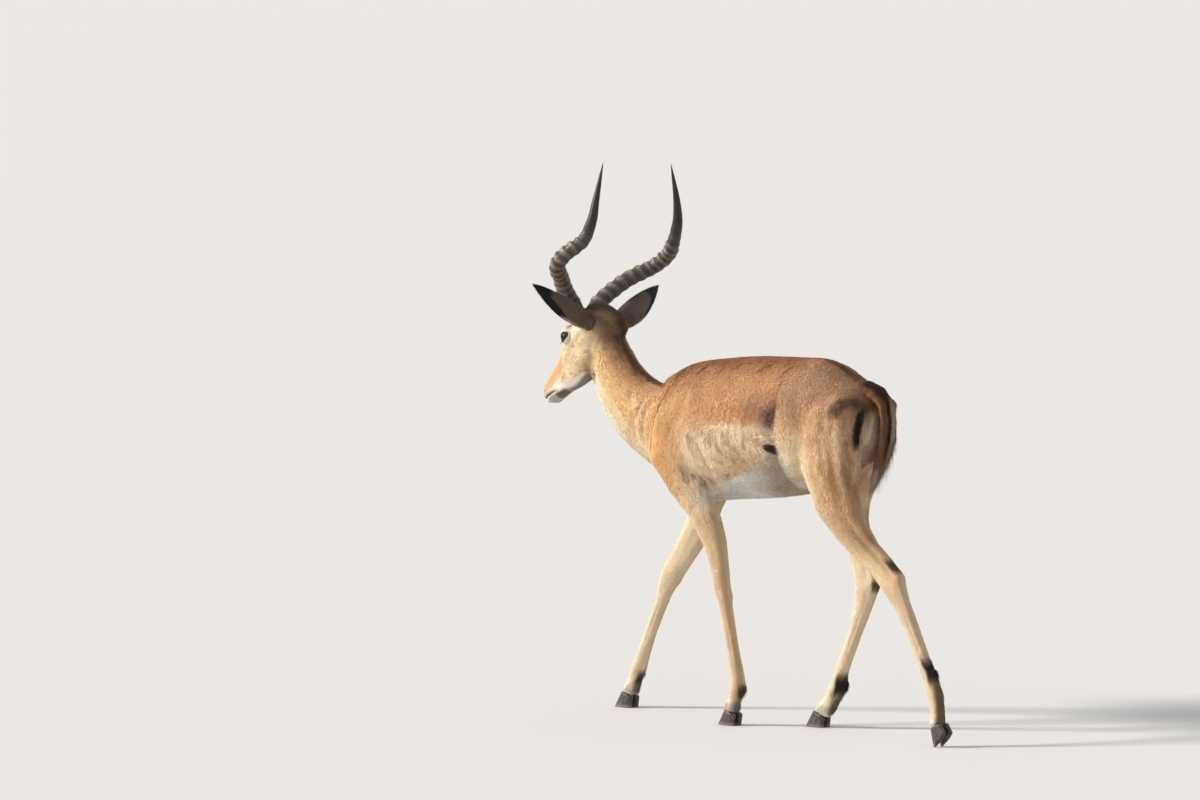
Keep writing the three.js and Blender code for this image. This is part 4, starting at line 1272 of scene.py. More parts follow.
class Surface:
    """A finished mesh, and what hair needs to know at each of its points."""

    def __init__(self, mesh, ways):
        self.points = points_of(mesh)
        self.normals = normals_of(mesh)
        self.faces = triangles_of(mesh)
        self.ways = ways
        corners = self.points[self.faces]
        cross = np.cross(corners[:, 1] - corners[:, 0], corners[:, 2] - corners[:, 0])
        self.areas = np.linalg.norm(cross, axis=1) / 2
        self.middles = corners.mean(1)
        self.facing = unit(cross)

    def scatter(self, chosen, weight, count):
        """Roots spread over chosen faces: the place, normal, hair's way and nearest corner of each."""
        share = np.where(chosen, self.areas * weight, 0.0)
        total = np.cumsum(share)
        picks = (np.arange(count) + rng.random(count)) / count * total[-1]
        face = self.faces[np.searchsorted(total, picks).clip(0, len(share) - 1)]
        a, b = rng.random((2, count))
        flip = a + b > 1
        a, b = np.where(flip, 1 - a, a), np.where(flip, 1 - b, b)
        parts = np.stack([1 - a - b, a, b], 1)[:, :, None]
        place = (self.points[face] * parts).sum(1)
        normal = unit((self.normals[face] * parts).sum(1))
        way = (self.ways[face] * parts).sum(1)
        way = unit(way - normal * (way * normal).sum(1)[:, None])
        return place, normal, way, face[:, 0]


class Skin(Surface):
    """The body's surface: the node of each point, how the hair runs there, and its markings."""

    def __init__(self, mesh, legs):
        self.legs = legs
        table = neighbours_of(mesh)
        labels = labels_of(points_of(mesh))
        super().__init__(mesh, hair_ways(points_of(mesh), normals_of(mesh), labels, legs, table))
        self.streaks = streaks_along(self.points, self.ways, table)
        self.shares = soft_shares(labels, table)
        self.face_labels = labels[self.faces[:, 0]]

    def on(self, name):
        """Which faces lie on a node of flesh."""
        return self.face_labels == FLESH.index(name)

    def colours(self, places, normals, corners):
        """The markings at places that lie nearest to the given points of the skin."""
        return markings(places, normals, self.shares[corners], self.streaks[corners], self.legs)


PATCH = 0.0015  # half the width of a tuft's patch on the unwrap
LEAST_PLACE, MOST_PLACE = 0.004, 0.996  # between these the patches' middles are kept
TUFT_FACES = np.array(((0, 2, 1), (0, 3, 2), (2, 3, 1), (1, 3, 0)))
TUFT_PATCH = np.array(((-1, -1), (1, -1), (0, -0.25), (0, 1.1))) * PATCH


def patches(places, patch):
    """A small patch of the unwrap for each piece, kept inside it."""
    return np.clip(places, LEAST_PLACE, MOST_PLACE)[:, None, :] + patch


def coat_mesh(name, corners, faces, normals, colours, unwrap):
    """A joined mesh of many like pieces: corners is pieces x points x 3, faces is faces x 3."""
    pieces, each = corners.shape[:2]
    every = (np.arange(pieces)[:, None, None] * each + faces).reshape(-1, 3)
    mesh = new_mesh(name, corners.reshape(-1, 3), every)
    smooth_faces(mesh)
    paint(mesh, colours.reshape(-1, 3))
    uv = mesh.uv_layers.new(name="OFBake")
    uv.data.foreach_set("uv", unwrap.reshape(-1, 2)[every.ravel()].astype(np.float32).ravel())
    mesh.normals_split_custom_set_from_vertices(unit(normals).reshape(-1, 3).astype(np.float32))
    return mesh


def tufts(name, roots, normals, ways, sizes, colours, places, streak=0.0):
    """Flat slivers of hair, closed, that overlap like shingles: sizes is length, width, height."""
    count = len(roots)
    sizes = sizes * rng.uniform(0.7, 1.25, (count, 3))
    sizes[:, 2] *= 1 + 0.30 * streak
    length, width, height = sizes.T[:, :, None]
    turn = 0.16 * rng.normal(size=count) + 0.20 * ripple(roots, 0.05, 11) + 0.10 * ripple(roots, 0.012, 12)
    across = np.cross(normals, ways)
    ways = unit(ways * np.cos(turn)[:, None] + across * np.sin(turn)[:, None])
    across = np.cross(normals, ways)
    foot = roots - normals * 0.0005
    corners = np.stack(
        [
            foot - across * width / 2,
            foot + across * width / 2,
            roots + ways * length * 0.35 + normals * height * 0.62,
            roots + ways * length + normals * height,
        ],
        1,
    )
    lean = 0.45
    shading = np.stack([normals - across * lean, normals + across * lean, normals, normals + ways * 0.25], 1)
    tone = np.array((0.80, 0.80, 1.0, 1.12)) * rng.uniform(0.88, 1.12, (count, 1))
    colours = colours[:, None, :] * tone[:, :, None]
    return coat_mesh(name, corners, TUFT_FACES, shading, colours, patches(places, TUFT_PATCH))


def round_axis(points, origin, axis, top):
    """An unwrap round an axis: the turn about it and the place along it, both 0 to 1."""
    axis = unit(np.asarray(axis, float))
    top = unit(top - axis * (axis @ top))
    side = np.cross(axis, top)
    apart = points - origin
    turn = np.arctan2(apart @ side, apart @ top) / (2 * math.pi) + 0.5
    along = apart @ axis
    return np.stack([turn, (along - along.min()) / (along.max() - along.min())], 1)


TRUNK_MIDDLE = (0, MID_Y, 0.74)
TAIL_ROOT = (0.43, MID_Y, 0.86)
# For each node: where its axis starts, where it leads, and the way to the middle of its unwrap.
AXES = {
    "head": (POLL, HEAD_ALONG, HEAD_UP),
    "neck": (POLL, (0.25, 0, -0.30), (1.0, 0, 1.0)),
    "trunk": (TRUNK_MIDDLE, (1.0, 0, 0), (0, 0, 1.0)),
    "tail": (TAIL_ROOT, (0, 0, -1), (1.0, 0, 0)),
}


def round_leg(points, leg, rows):
    """An unwrap round a leg whose middle follows its bends."""
    height, back, out = leg_place(points, leg, rows)
    turn = np.arctan2(out, back) / (2 * math.pi) + 0.5
    return np.stack([turn, (height - height.min()) / (height.max() - height.min())], 1)


def half_round(points, side):
    """An unwrap of one side of the trunk, from the back down to the belly."""
    across = np.maximum(side * (points[:, 1] - MID_Y), 0)
    turn = np.arctan2(across, points[:, 2] - TRUNK_MIDDLE[2]) / math.pi
    x = points[:, 0]
    return np.stack([turn, (x - x.min()) / (x.max() - x.min())], 1)


def coat_unwrap(points, part, legs):
    """An unwrap for the coat on one part of the body."""
    node, _, rest = part.partition("_")
    if node == "leg":
        return round_leg(points, rest, legs[rest])
    if node == "trunk":
        return half_round(points, SIDES[rest])
    return round_axis(points, *AXES[node])


def coat_parts(skin):
    """The parts of the body that have a coat piece each, with their faces."""
    place = to_half_head(skin.middles)
    along, out, up = place.T
    mouth = np.minimum(from_line(place, MOUTH)[0], from_line(place, NOSTRIL)[0])
    nose = (along > 0.294) & (out < 0.009) & (np.abs(up + 0.016) < 0.010)
    face = skin.on("head") & (lid_distance(skin.middles) > 1.14) & (mouth > 0.0026) & ~nose
    parts = {}
    for side, sign in SIDES.items():
        parts["trunk_" + side] = skin.on("trunk") & (sign * (skin.middles[:, 1] - MID_Y) > 0)
    parts |= {"neck": skin.on("neck"), "head": face, "tail": skin.on("tail")}
    for leg in LEGS:
        parts["leg_" + leg] = skin.on("leg_" + leg) & (skin.middles[:, 2] > HOOF_TOP)
    return parts


def lay_coat(skin):
    """All short hair, in joined pieces by part of the body, each with its kind of node."""
    weights = {
        "leg": 1 + 2.2 * smoothstep(0.58, 0.42, skin.middles[:, 2]),
        "head": 1 + 0.6 * smoothstep(0.10, 0.2, to_head(skin.middles)[:, 0]),
    }
    pieces = []
    for part, chosen in coat_parts(skin).items():
        kind = part.split("_")[0]
        count = int(TUFTS_PER_PIECE * COAT_SHARE[kind] * amount(1))
        roots, normals, ways, corner = skin.scatter(chosen, weights.get(kind, 1.0), count)
        sizes = np.tile(TUFTS[kind], (count, 1))
        if kind == "leg":
            low = smoothstep(0.58, 0.44, roots[:, 2])[:, None]
            sizes = sizes + (np.array(LOWER_TUFT) - sizes) * low
        if kind == "head":
            along = to_head(roots)[:, 0]
            sizes = sizes * (0.55 + 0.75 * smoothstep(0.20, 0.02, along))[:, None]
            sizes = sizes * (0.45 + 0.55 * smoothstep(1.1, 2.2, lid_distance(roots)))[:, None]
            sizes[:, 2] *= 1 - 0.45 * smoothstep(0.15, 0.25, along)
        streak = skin.streaks[corner]
        colours = skin.colours(roots, normals, corner) * (1 + STREAK_TONE[kind] * streak)[:, None]
        unwrap = coat_unwrap(roots, part, skin.legs)
        pieces.append((tufts("coat_" + part, roots, normals, ways, sizes, colours, unwrap, streak), kind))
    return pieces


# ------------------------------------------------------------------------------ materials
def marked_material(name, values):
    """As new_material, with the mesh's own colours, which it gives as one more node."""
    material, tree, shader = new_material(name, values)
    marks = tree.nodes.new("ShaderNodeAttribute")
    marks.attribute_name = MARKS
    return material, tree, shader, marks


def coat_material(name, bump, scale):
    """Hair that takes its colour from the markings, with fine streaks and a soft gloss."""
    looks = {"Roughness": 0.58, "Specular IOR Level": 0.28}
    material, tree, shader, marks = marked_material(name, looks)
    streaks = tree.nodes.new("ShaderNodeTexNoise")
    set_inputs(streaks, {"Scale": scale, "Detail": 3})
    spread = tree.nodes.new("ShaderNodeMapping")
    set_inputs(spread, {"Scale": (0.25, 1, 0.6)})
    place = tree.nodes.new("ShaderNodeTexCoord")
    tree.links.new(place.outputs["Object"], spread.inputs["Vector"])
    tree.links.new(spread.outputs["Vector"], streaks.inputs["Vector"])
    tone = tree.nodes.new("ShaderNodeMapRange")
    set_inputs(tone, {"From Min": 0.30, "From Max": 0.70, "To Min": 0.80, "To Max": 1.16})
    tree.links.new(streaks.outputs["Fac"], tone.inputs["Value"])
    product = tree.nodes.new("ShaderNodeVectorMath")
    product.operation = "SCALE"
    tree.links.new(marks.outputs["Color"], product.inputs[0])
    tree.links.new(tone.outputs["Result"], product.inputs["Scale"])
    tree.links.new(product.outputs["Vector"], shader.inputs["Base Color"])
    if bump:
        relief = tree.nodes.new("ShaderNodeBump")
        set_inputs(relief, {"Strength": bump, "Distance": 0.0012})
        tree.links.new(streaks.outputs["Fac"], relief.inputs["Height"])
        tree.links.new(relief.outputs["Normal"], shader.inputs["Normal"])
    return material


def plain_material(name, roughness, specular, gloss=0.0):
    """A smooth material that takes its colour from the markings."""
    looks = {"Roughness": roughness, "Specular IOR Level": specular}
    looks |= {"Coat Weight": gloss, "Coat Roughness": 0.03}
    material, tree, shader, marks = marked_material(name, looks)
    tree.links.new(marks.outputs["Color"], shader.inputs["Base Color"])
    return material


def thinned(mesh, count):
    """The mesh with fewer triangles; the head keeps more of them."""
    obj = new_object("work", mesh)
    along, out, up = to_half_head(points_of(mesh)).T
    keep = (along > 0.02) & (out < 0.08) & (up > -0.12)
    group = obj.vertex_groups.new(name="thin")
    group.add(np.flatnonzero(~keep).tolist(), 1.0, "REPLACE")
    ratio = count / (2 * len(mesh.polygons))
    return modified(obj, "DECIMATE", ratio=ratio, vertex_group="thin")


# ------------------------------------------------------------------------------ long hair
SEGMENTS = 5


def strand_faces(segments):
    """The triangles of a tapering three-sided strand, closed at its root and pointed at its tip."""
    faces = [(0, 1, 2)]
    for ring in range(segments - 1):
        for side in range(3):
            a, b = 3 * ring + side, 3 * ring + (side + 1) % 3
            faces += [(a, a + 3, b), (b, a + 3, b + 3)]
    last, tip = 3 * (segments - 1), 3 * segments
    faces += [(last + side, tip, last + (side + 1) % 3) for side in range(3)]
    return np.array(faces)


def strands(name, roots, starts, bends, lengths, widths, colours, places, tips=None, segments=SEGMENTS):
    """Long hairs that leave along starts and curve by bends; tips are the colours at their ends."""
    count = len(roots)
    starts = unit(starts)
    share = np.linspace(0, 1, segments + 1)
    line = roots[:, None] + lengths[:, None, None] * (
        starts[:, None] * share[:, None] + bends[:, None] * share[:, None] ** 2
    )
    way = unit(np.gradient(line, axis=1))
    across = unit(np.cross(way, bends[:, None] + np.array((0.05, 0.3, 0.02))))
    out = np.cross(across, way)
    width = widths[:, None] * (0.55 + 0.45 * np.sin(math.pi * np.minimum(share * 1.2 + 0.15, 1))) / 2
    width = (width * (1 - 0.6 * share**2))[:, :, None]
    corners, shading = [], []
    for ring in range(segments):
        for turn in (0.0, 2.1, 4.2):
            way_out = across[:, ring] * math.cos(turn) + out[:, ring] * (0.5 * math.sin(turn))
            corners.append(line[:, ring] + way_out * width[:, ring])
            shading.append(unit(way_out))
    corners.append(line[:, -1])
    shading.append(out[:, -1])
    tips = colours if tips is None else tips
    level = np.append(np.repeat(share[:-1], 3), 1)[None, :, None]
    tone = rng.uniform(0.9, 1.1, (count, 1, 1))
    shade = (colours[:, None] + (tips - colours)[:, None] * level) * (0.84 + 0.2 * level) * tone
    patch = []
    for ring in range(segments):
        up = ring / segments * 2 - 1
        patch += [(-1, up), (0, up + 0.2), (1, up)]
    patch = np.array([*patch, (0.0, 1.1)]) * PATCH
    corners, shading = np.stack(corners, 1), np.stack(shading, 1)
    return coat_mesh(name, corners, strand_faces(segments), shading, shade, patches(places, patch))


# ------------------------------------------------------------------------------ horns
# The right horn's middle line before the head's lean, from a root in the skull up to the tip.
HORN_LINE = (
    (-0.5972, 0.023, 0.984),
    (-0.5952, 0.050, 1.020),
    (-0.5862, 0.084, 1.050),
    (-0.5642, 0.122, 1.082),
    (-0.5282, 0.172, 1.115),
    (-0.4902, 0.181, 1.145),
    (-0.4522, 0.160, 1.180),
    (-0.4332, 0.152, 1.230),
    (-0.4302, 0.144, 1.280),
    (-0.4332, 0.120, 1.377),
)
HORN_RADIUS, HORN_RIDGES, HORN_RIDGED = 0.0212, 15, 0.70
HORN_RINGS, HORN_SIDES = 420, 40
HORN_DARK = rgb(62, 54, 48)
HORN_PALE = rgb(172, 158, 138)
HORN_TIP = rgb(30, 26, 25)


def curve_through(points, count):
    """A smooth curve through points, evenly spaced along its length."""
    points = np.asarray(points, float)
    knots = np.concatenate([[2 * points[0] - points[1]], points, [2 * points[-1] - points[-2]]])
    steps = np.sqrt(np.linalg.norm(np.diff(knots, axis=0), axis=1))
    parts = []
    for i in range(1, len(knots) - 2):
        p0, p1, p2, p3 = knots[i - 1 : i + 3]
        d0, d1, d2 = steps[i - 1 : i + 2]
        m1 = ((p1 - p0) / d0 - (p2 - p0) / (d0 + d1) + (p2 - p1) / d1) * d1
        m2 = ((p2 - p1) / d1 - (p3 - p1) / (d1 + d2) + (p3 - p2) / d2) * d1
        t = np.linspace(0, 1, 60, endpoint=False)[:, None]
        cubic = 2 * p1 - 2 * p2 + m1 + m2
        square = -3 * p1 + 3 * p2 - 2 * m1 - m2
        parts.append(cubic * t**3 + square * t**2 + m1 * t + p1)
    line = np.concatenate([*parts, points[-1:]])
    length = np.append(0, np.cumsum(np.linalg.norm(np.diff(line, axis=0), axis=1)))
    even = np.linspace(0, length[-1], count)
    return np.stack([np.interp(even, length, column) for column in line.T], 1)


def horn(side):
    """A horn with rings that stand out at the front, fade behind, and a smooth tip."""
    sign = SIDES[side]
    line = curve_through([(x, MID_Y + sign * y, z) for x, y, z in HORN_LINE], HORN_RINGS)
    line = POLL + (line - POLL) @ HEAD_LEAN.T
    way = unit(np.gradient(line, axis=0))
    front = np.array((-1.0, 0, 0.35))
    front = unit(front - way * (way @ front)[:, None])
    aside = np.cross(way, front)
    t = np.linspace(0, 1, HORN_RINGS)[:, None]
    turn = np.linspace(0, 2 * math.pi, HORN_SIDES, endpoint=False)[None, :]
    taper = np.where(t < 0.55, 1 - 0.24 * t, 0.868 * ((1 - t) / 0.45).clip(0) ** 0.82)
    taper = np.maximum(taper, 0.02)
    face = 0.5 + 0.5 * np.cos(turn)  # 1 at the front, 0 behind
    # the rings slope: they lie lower behind than in front, crowd towards the top, and are uneven
    place = (t + 0.004 * np.cos(turn)) / HORN_RIDGED
    phase = HORN_RIDGES * (0.88 * place + 0.12 * place**2) + 0.10 * np.sin(9 * place)
    phase = phase + 0.04 * np.sin(3 * turn + 20 * t)
    beat = phase - np.floor(phase)
    crest = np.where(beat < 0.62, smoothstep(0, 0.62, beat), smoothstep(1.0, 0.70, beat))
    strength = smoothstep(0.045, 0.085, t) * smoothstep(HORN_RIDGED + 0.02, HORN_RIDGED - 0.16, t)
    height = (0.0012 + 0.0044 * face**0.8) * strength * (0.75 + 0.25 * np.sin(2.3 * np.floor(phase)))
    grain = 0.00030 * np.sin(13 * turn + 6 * np.sin(7 * t)) + 0.00020 * np.sin(7 * turn + 60 * t)
    grain = grain * smoothstep(0.9, 0.6, t)
    crest = crest**1.5
    radius = HORN_RADIUS * taper + height * (crest - 0.45) + grain
    ring = front[:, None] * np.cos(turn)[:, :, None] + aside[:, None] * np.sin(turn)[:, :, None]
    points = (line[:, None] + ring * radius[:, :, None]).reshape(-1, 3)
    lit = (crest * strength * (0.35 + 0.65 * face)).reshape(-1)
    colour = mixed(painted(HORN_DARK, len(points)), HORN_PALE, lit**1.6)
    high = np.broadcast_to(t, radius.shape).reshape(-1)
    colour = mixed(colour, HORN_TIP, smoothstep(0.62, 0.75, high))
    colour = colour * (1 + 0.16 * ripple(points, 0.006, 21) + 0.08 * ripple(points, 0.02, 22))[:, None]
    # at its foot the horn takes the nape's dark colour, which carries painted shade
    colour = mixed(colour, NAPE_DARK_AND_SHADE, 0.5 * smoothstep(0.05, 0.03, high))
    grid = np.arange(HORN_RINGS * HORN_SIDES).reshape(HORN_RINGS, HORN_SIDES)
    a, b = grid[:-1], np.roll(grid, -1, 1)[:-1]
    c, d = np.roll(grid, -1, 1)[1:], grid[1:]
    faces = np.concatenate([np.stack([a, b, c], -1).reshape(-1, 3), np.stack([a, c, d], -1).reshape(-1, 3)])
    ends = []
    for own, flip in ((grid[0], True), (grid[-1], False)):
        middle_point = len(points) + len(ends)
        fan = np.stack([own, np.roll(own, -1), np.full(HORN_SIDES, middle_point)], 1)
        faces = np.concatenate([faces, fan[:, ::-1] if flip else fan])
        ends.append(line[0] if flip else line[-1] + way[-1] * 0.002)
    mesh = new_mesh("horn_" + side, np.concatenate([points, ends]), faces)
    smooth_faces(mesh)
    paint(mesh, np.concatenate([colour, colour[:1], colour[-1:]]))
    return mesh


# ------------------------------------------------------------------------------ eyes
IRIS = rgb(52, 30, 17)
EYE_WHITE = rgb(34, 22, 16)


def eye_ball(side):
    """A wet dark ball with a wide pupil that lies level."""
    outward, forward, up = EYE_LOOK[side]
    work = bmesh.new()
    bmesh.ops.create_uvsphere(work, u_segments=64, v_segments=40, radius=1.0)
    mesh = taken_from(work, "eye_" + side)
    ball = points_of(mesh)
    # the pole looks outward, and the cornea stands out a little round it
    lift = 1 + 0.035 * smoothstep(0.70, 0.98, ball[:, 2])
    points = EYES[side] + EYE_RADIUS * lift[:, None] * (
        ball[:, :1] * forward + ball[:, 1:2] * up + ball[:, 2:] * outward
    )
    if np.dot(np.cross(forward, up), outward) < 0:
        mesh.flip_normals()
    set_points(mesh, points)
    x, y = ball[:, 0] * EYE_RADIUS, ball[:, 1] * EYE_RADIUS
    colour = painted(EYE_WHITE, len(points))
    ring = np.hypot(x, y)
    colour = mixed(colour, IRIS * 1.25, smoothstep(0.0125, 0.0115, ring))
    colour = mixed(colour, IRIS * 0.6, smoothstep(0.0105, 0.0125, ring) * smoothstep(0.0135, 0.0125, ring))
    pupil = np.hypot(x / 0.0078, y / 0.0046)
    colour = mixed(colour, BLACK * 0.3, smoothstep(1.12, 0.95, pupil) * (ball[:, 2] > 0))
    smooth_faces(mesh)
    paint(mesh, colour)
    return mesh


def tube(name, line, radii, sides, colour):
    """A round closed tube along a loop of points."""
    way = unit(np.roll(line, -1, 0) - np.roll(line, 1, 0))
    out = unit(line - line.mean(0))
    out = unit(out - way * (out * way).sum(1)[:, None])
    up = np.cross(way, out)
    turn = np.linspace(0, 2 * math.pi, sides, endpoint=False)
    ring = out[:, None] * np.cos(turn)[None, :, None] + up[:, None] * np.sin(turn)[None, :, None]
    points = (line[:, None] + ring * radii[:, None, None]).reshape(-1, 3)
    grid = np.arange(len(points)).reshape(len(line), sides)
    a, b = grid, np.roll(grid, -1, 1)
    d, c = np.roll(grid, -1, 0), np.roll(np.roll(grid, -1, 0), -1, 1)
    faces = np.stack([a, d, c, b], -1).reshape(-1, 4)
    mesh = new_mesh(name, points, faces)
    smooth_faces(mesh)
    paint(mesh, painted(colour, len(points)))
    return mesh


def lid_line(side, count, lift):
    """A loop of points on the ball along the lids' edge, and each one's height from -1 to 1."""
    outward, forward, up = EYE_LOOK[side]
    turn = np.linspace(0, 2 * math.pi, count, endpoint=False)
    upper, lower = lid_edge(np.cos(turn))
    high = np.where(np.sin(turn) > 0, upper, lower)
    wide = LID_LENGTH * np.cos(turn)
    reach = EYE_RADIUS + lift
    deep = np.sqrt(reach**2 - wide**2 - high**2)
    line = EYES[side] + wide[:, None] * forward + high[:, None] * up + deep[:, None] * outward
    return line, np.sin(turn)


LID_RIM_RINGS, LID_RIM_SIDES, LID_RIM_RADIUS, LID_RIM_LIFT = 96, 10, 0.00105, 0.0009
LASHES, LASH_LIFT, LASH_WIDTH = 150, 0.0014, 0.00035


def lid_rim(side):
    """The wet dark edge of both lids."""
    line, _ = lid_line(side, LID_RIM_RINGS, LID_RIM_LIFT)
    radii = np.full(LID_RIM_RINGS, LID_RIM_RADIUS)
    return tube("lid_" + side, line, radii, LID_RIM_SIDES, BLACK * 1.6)


def lashes(side):
    """Dark lashes, long on the upper lid and short on the lower."""
    outward, _, up = EYE_LOOK[side]
    line, high = lid_line(side, LASHES, LASH_LIFT)
    keep = (high > 0.25) | ((high < -0.5) & (np.arange(LASHES) % 2 == 0))
    line, high = line[keep], high[keep]
    apart = unit(line - EYES[side])
    starts = apart * 0.8 + outward * 0.5 + up * np.where(high > 0, 0.15, -0.4)[:, None]
    starts = starts + rng.normal(size=starts.shape) * 0.08
    bends = np.where(high > 0, 0.35, -0.1)[:, None] * up
    lengths = np.where(high > 0, 0.0085, 0.0040) * rng.uniform(0.75, 1.15, len(line))
    widths, colours = np.full(len(line), LASH_WIDTH), painted(BLACK, len(line))
    places = np.stack([np.linspace(0.05, 0.95, len(line)), np.full(len(line), 0.5)], 1)
    return strands("lashes_" + side, line, starts, bends, lengths, widths, colours, places)


# ------------------------------------------------------------------------------ hooves
HOOF_VOXEL, HOOF_EASE = 0.0013, 9
HOOF_DARK = rgb(66, 57, 51)
HOOF_PALE = rgb(138, 124, 110)


def hoof(leg):
    """Both claws of a foot, rounded from their solids, with fine growth lines."""
    claws = []
    for part in ("inner", "outer"):
        claw = new_object("work", new_mesh("work", *joined_nodes([f"hoof_{leg}_{part}"])))
        mesh = modified(claw, "REMESH", mode="VOXEL", voxel_size=HOOF_VOXEL)
        rough = points_of(mesh)
        eased = smoothed(rough, neighbours_of(mesh), HOOF_EASE)
        # the sole stays flat on the floor
        eased[:, 2] = np.where(rough[:, 2] < 0.0025, np.maximum(rough[:, 2], 0.0), eased[:, 2])
        lines = 0.00018 * np.sin(2 * math.pi * (eased[:, 2] + 0.2 * eased[:, 0]) / 0.0042)
        set_points(mesh, eased)
        normals = normals_of(mesh)
        lines = lines * smoothstep(0.6, 0.3, np.abs(normals[:, 2]))
        set_points(mesh, eased + normals * lines[:, None])
        claws.append(mesh)
    mesh = joined_meshes("hooves_" + leg, claws)
    points = points_of(mesh)
    colour = painted(HOOF_DARK, len(points))
    colour = mixed(colour, HOOF_PALE, 0.8 * smoothstep(0.012, 0.0, points[:, 2]))
    colour = mixed(colour, HOOF_PALE, 0.35 * smoothstep(0.3, 1.2, ripple(points, 0.012, 31)))
    colour = colour * (1 + 0.10 * ripple(points * (1, 1, 3), 0.006, 32))[:, None]
    smooth_faces(mesh)
    paint(mesh, colour)
    return mesh


# ------------------------------------------------------------------------------ ears' hair
EAR_CENTRE = 0.022  # how far in front of the leaf its hollow is centred
EAR_TUFT = (0.0062, 0.0009, 0.0008)
EAR_BLACK = rgb(10, 8, 7)
EAR_INNER = rgb(214, 200, 182)
EAR_RIM = rgb(196, 176, 148)


def ear_edges(side):
    """For places along the ear, how far its upper and lower edges lie from its middle line."""
    root, along, lower, _, length = ear_frame(side)
    leaf = points_of(NODES["ear_" + side].data) - root
    where, down = (leaf @ along) / length, leaf @ lower
    stops = np.linspace(0.05, 0.95, 10)
    near = [down[np.abs(where - stop) < 0.09] for stop in stops]
    return stops, [part.min() for part in near], [part.max() for part in near]


EAR_EDGES = {side: ear_edges(side) for side in SIDES}


def ear_place(points, side):
    """A point's place on the ear: along from 0 to 1, from its upper (-1) to its lower edge (1), and back."""
    root, along, lower, back, length = ear_frame(side)
    apart = points - root
    where, down = (apart @ along) / length, apart @ lower
    stops, top, bottom = EAR_EDGES[side]
    top, bottom = np.interp(where, stops, top), np.interp(where, stops, bottom)
    return where, (2 * down - top - bottom) / np.maximum(bottom - top, 0.006), back


def ear_inside(points, normals, side):
    """From 0 to 1, how surely a point lies on the hollow face of the ear."""
    root, along, _, back, _ = ear_frame(side)
    centre = root + ((points - root) @ along)[:, None] * along - back * EAR_CENTRE
    return smoothstep(-0.15, 0.15, (unit(centre - points) * normals).sum(1))


def ear_marks(points, normals, side):
    """Brown outside with a black tip, and pale with black stripes inside."""
    along, lower, _ = ear_place(points, side)
    inside = ear_inside(points, normals, side)
    noise = ripple(points, 0.02, 41)
    # towards its foot the ear takes the crown's colour, which carries painted shade
    outer = mixed(painted(EAR_BACK, len(points)), CROWN_DARK_AND_SHADE, 0.8 * smoothstep(0.30, 0.05, along))
    edge = 0.70 - 0.32 * smoothstep(0.05, 0.95, lower) + 0.012 * noise
    tip = smoothstep(edge - 0.03, edge + 0.03, along)
    margin = smoothstep(-0.80, -0.94, lower) * smoothstep(0.40, 0.55, along)
    outer = mixed(outer, EAR_BLACK, np.maximum(tip, margin))
    outer = mixed(outer, EAR_RIM, 0.9 * smoothstep(0.80, 0.92, lower) * smoothstep(0.50, 0.40, along))
    inner = mixed(painted(EAR_INNER, len(points)), EAR_BACK, 0.6 * smoothstep(0.5, 1.4, noise))
    inner = mixed(inner, EAR_BLACK, smoothstep(0.84, 0.92, along))
    stripe = np.exp(-(((np.abs(lower) - 0.38) / 0.09) ** 2)) * smoothstep(0.1, 0.25, along)
    inner = mixed(inner, EAR_BLACK, 0.85 * stripe * smoothstep(0.85, 0.7, along))
    return mixed(outer, inner, inside)


def ear_unwrap(points, normals, side):
    """Both faces of the leaf laid flat, the back on one half of the map and the inside on the other."""
    along, lower, back = ear_place(points, side)
    across = 0.25 + 0.2 * np.clip(lower, -1.1, 1.1)
    across = np.where(normals @ back > 0, across, across + 0.5)
    return np.stack([across, np.clip(along, 0, 1) * 0.94 + 0.03], 1)


def ear_hair(surface, side):
    """Short fur all over the leaf, and long pale hair that lies inside it from the lower edge upwards."""
    _, along, lower, back, _ = ear_frame(side)
    count = amount(9000)
    roots, normals, ways, _ = surface.scatter(True, 1.0, count)
    colours, places = ear_marks(roots, normals, side), ear_unwrap(roots, normals, side)
    sizes = np.tile(EAR_TUFT, (count, 1))
    short = tufts("coat_ear_" + side, roots, normals, ways, sizes, colours, places)
    place, _, _ = ear_place(surface.middles, side)
    inside = (surface.facing @ back < -0.2) & (place > 0.05) & (place < 0.86)
    count = amount(900)
    roots, normals, ways, _ = surface.scatter(inside, 1.0, count)
    colours, places = ear_marks(roots, normals, side), ear_unwrap(roots, normals, side)
    _, across, _ = ear_place(roots, side)
    starts = ways * 0.9 - lower * (0.75 * np.sign(across) * (np.abs(across) > 0.25))[:, None] + normals * 0.28
    starts = starts + 0.10 * rng.normal(size=starts.shape)
    bends = along * 0.25 - normals * 0.10
    lengths = rng.uniform(0.010, 0.022, count)
    widths = np.full(count, 0.0007)
    long = strands("hair_ear_" + side, roots, starts, bends, lengths, widths, colours, places)
    return short, long


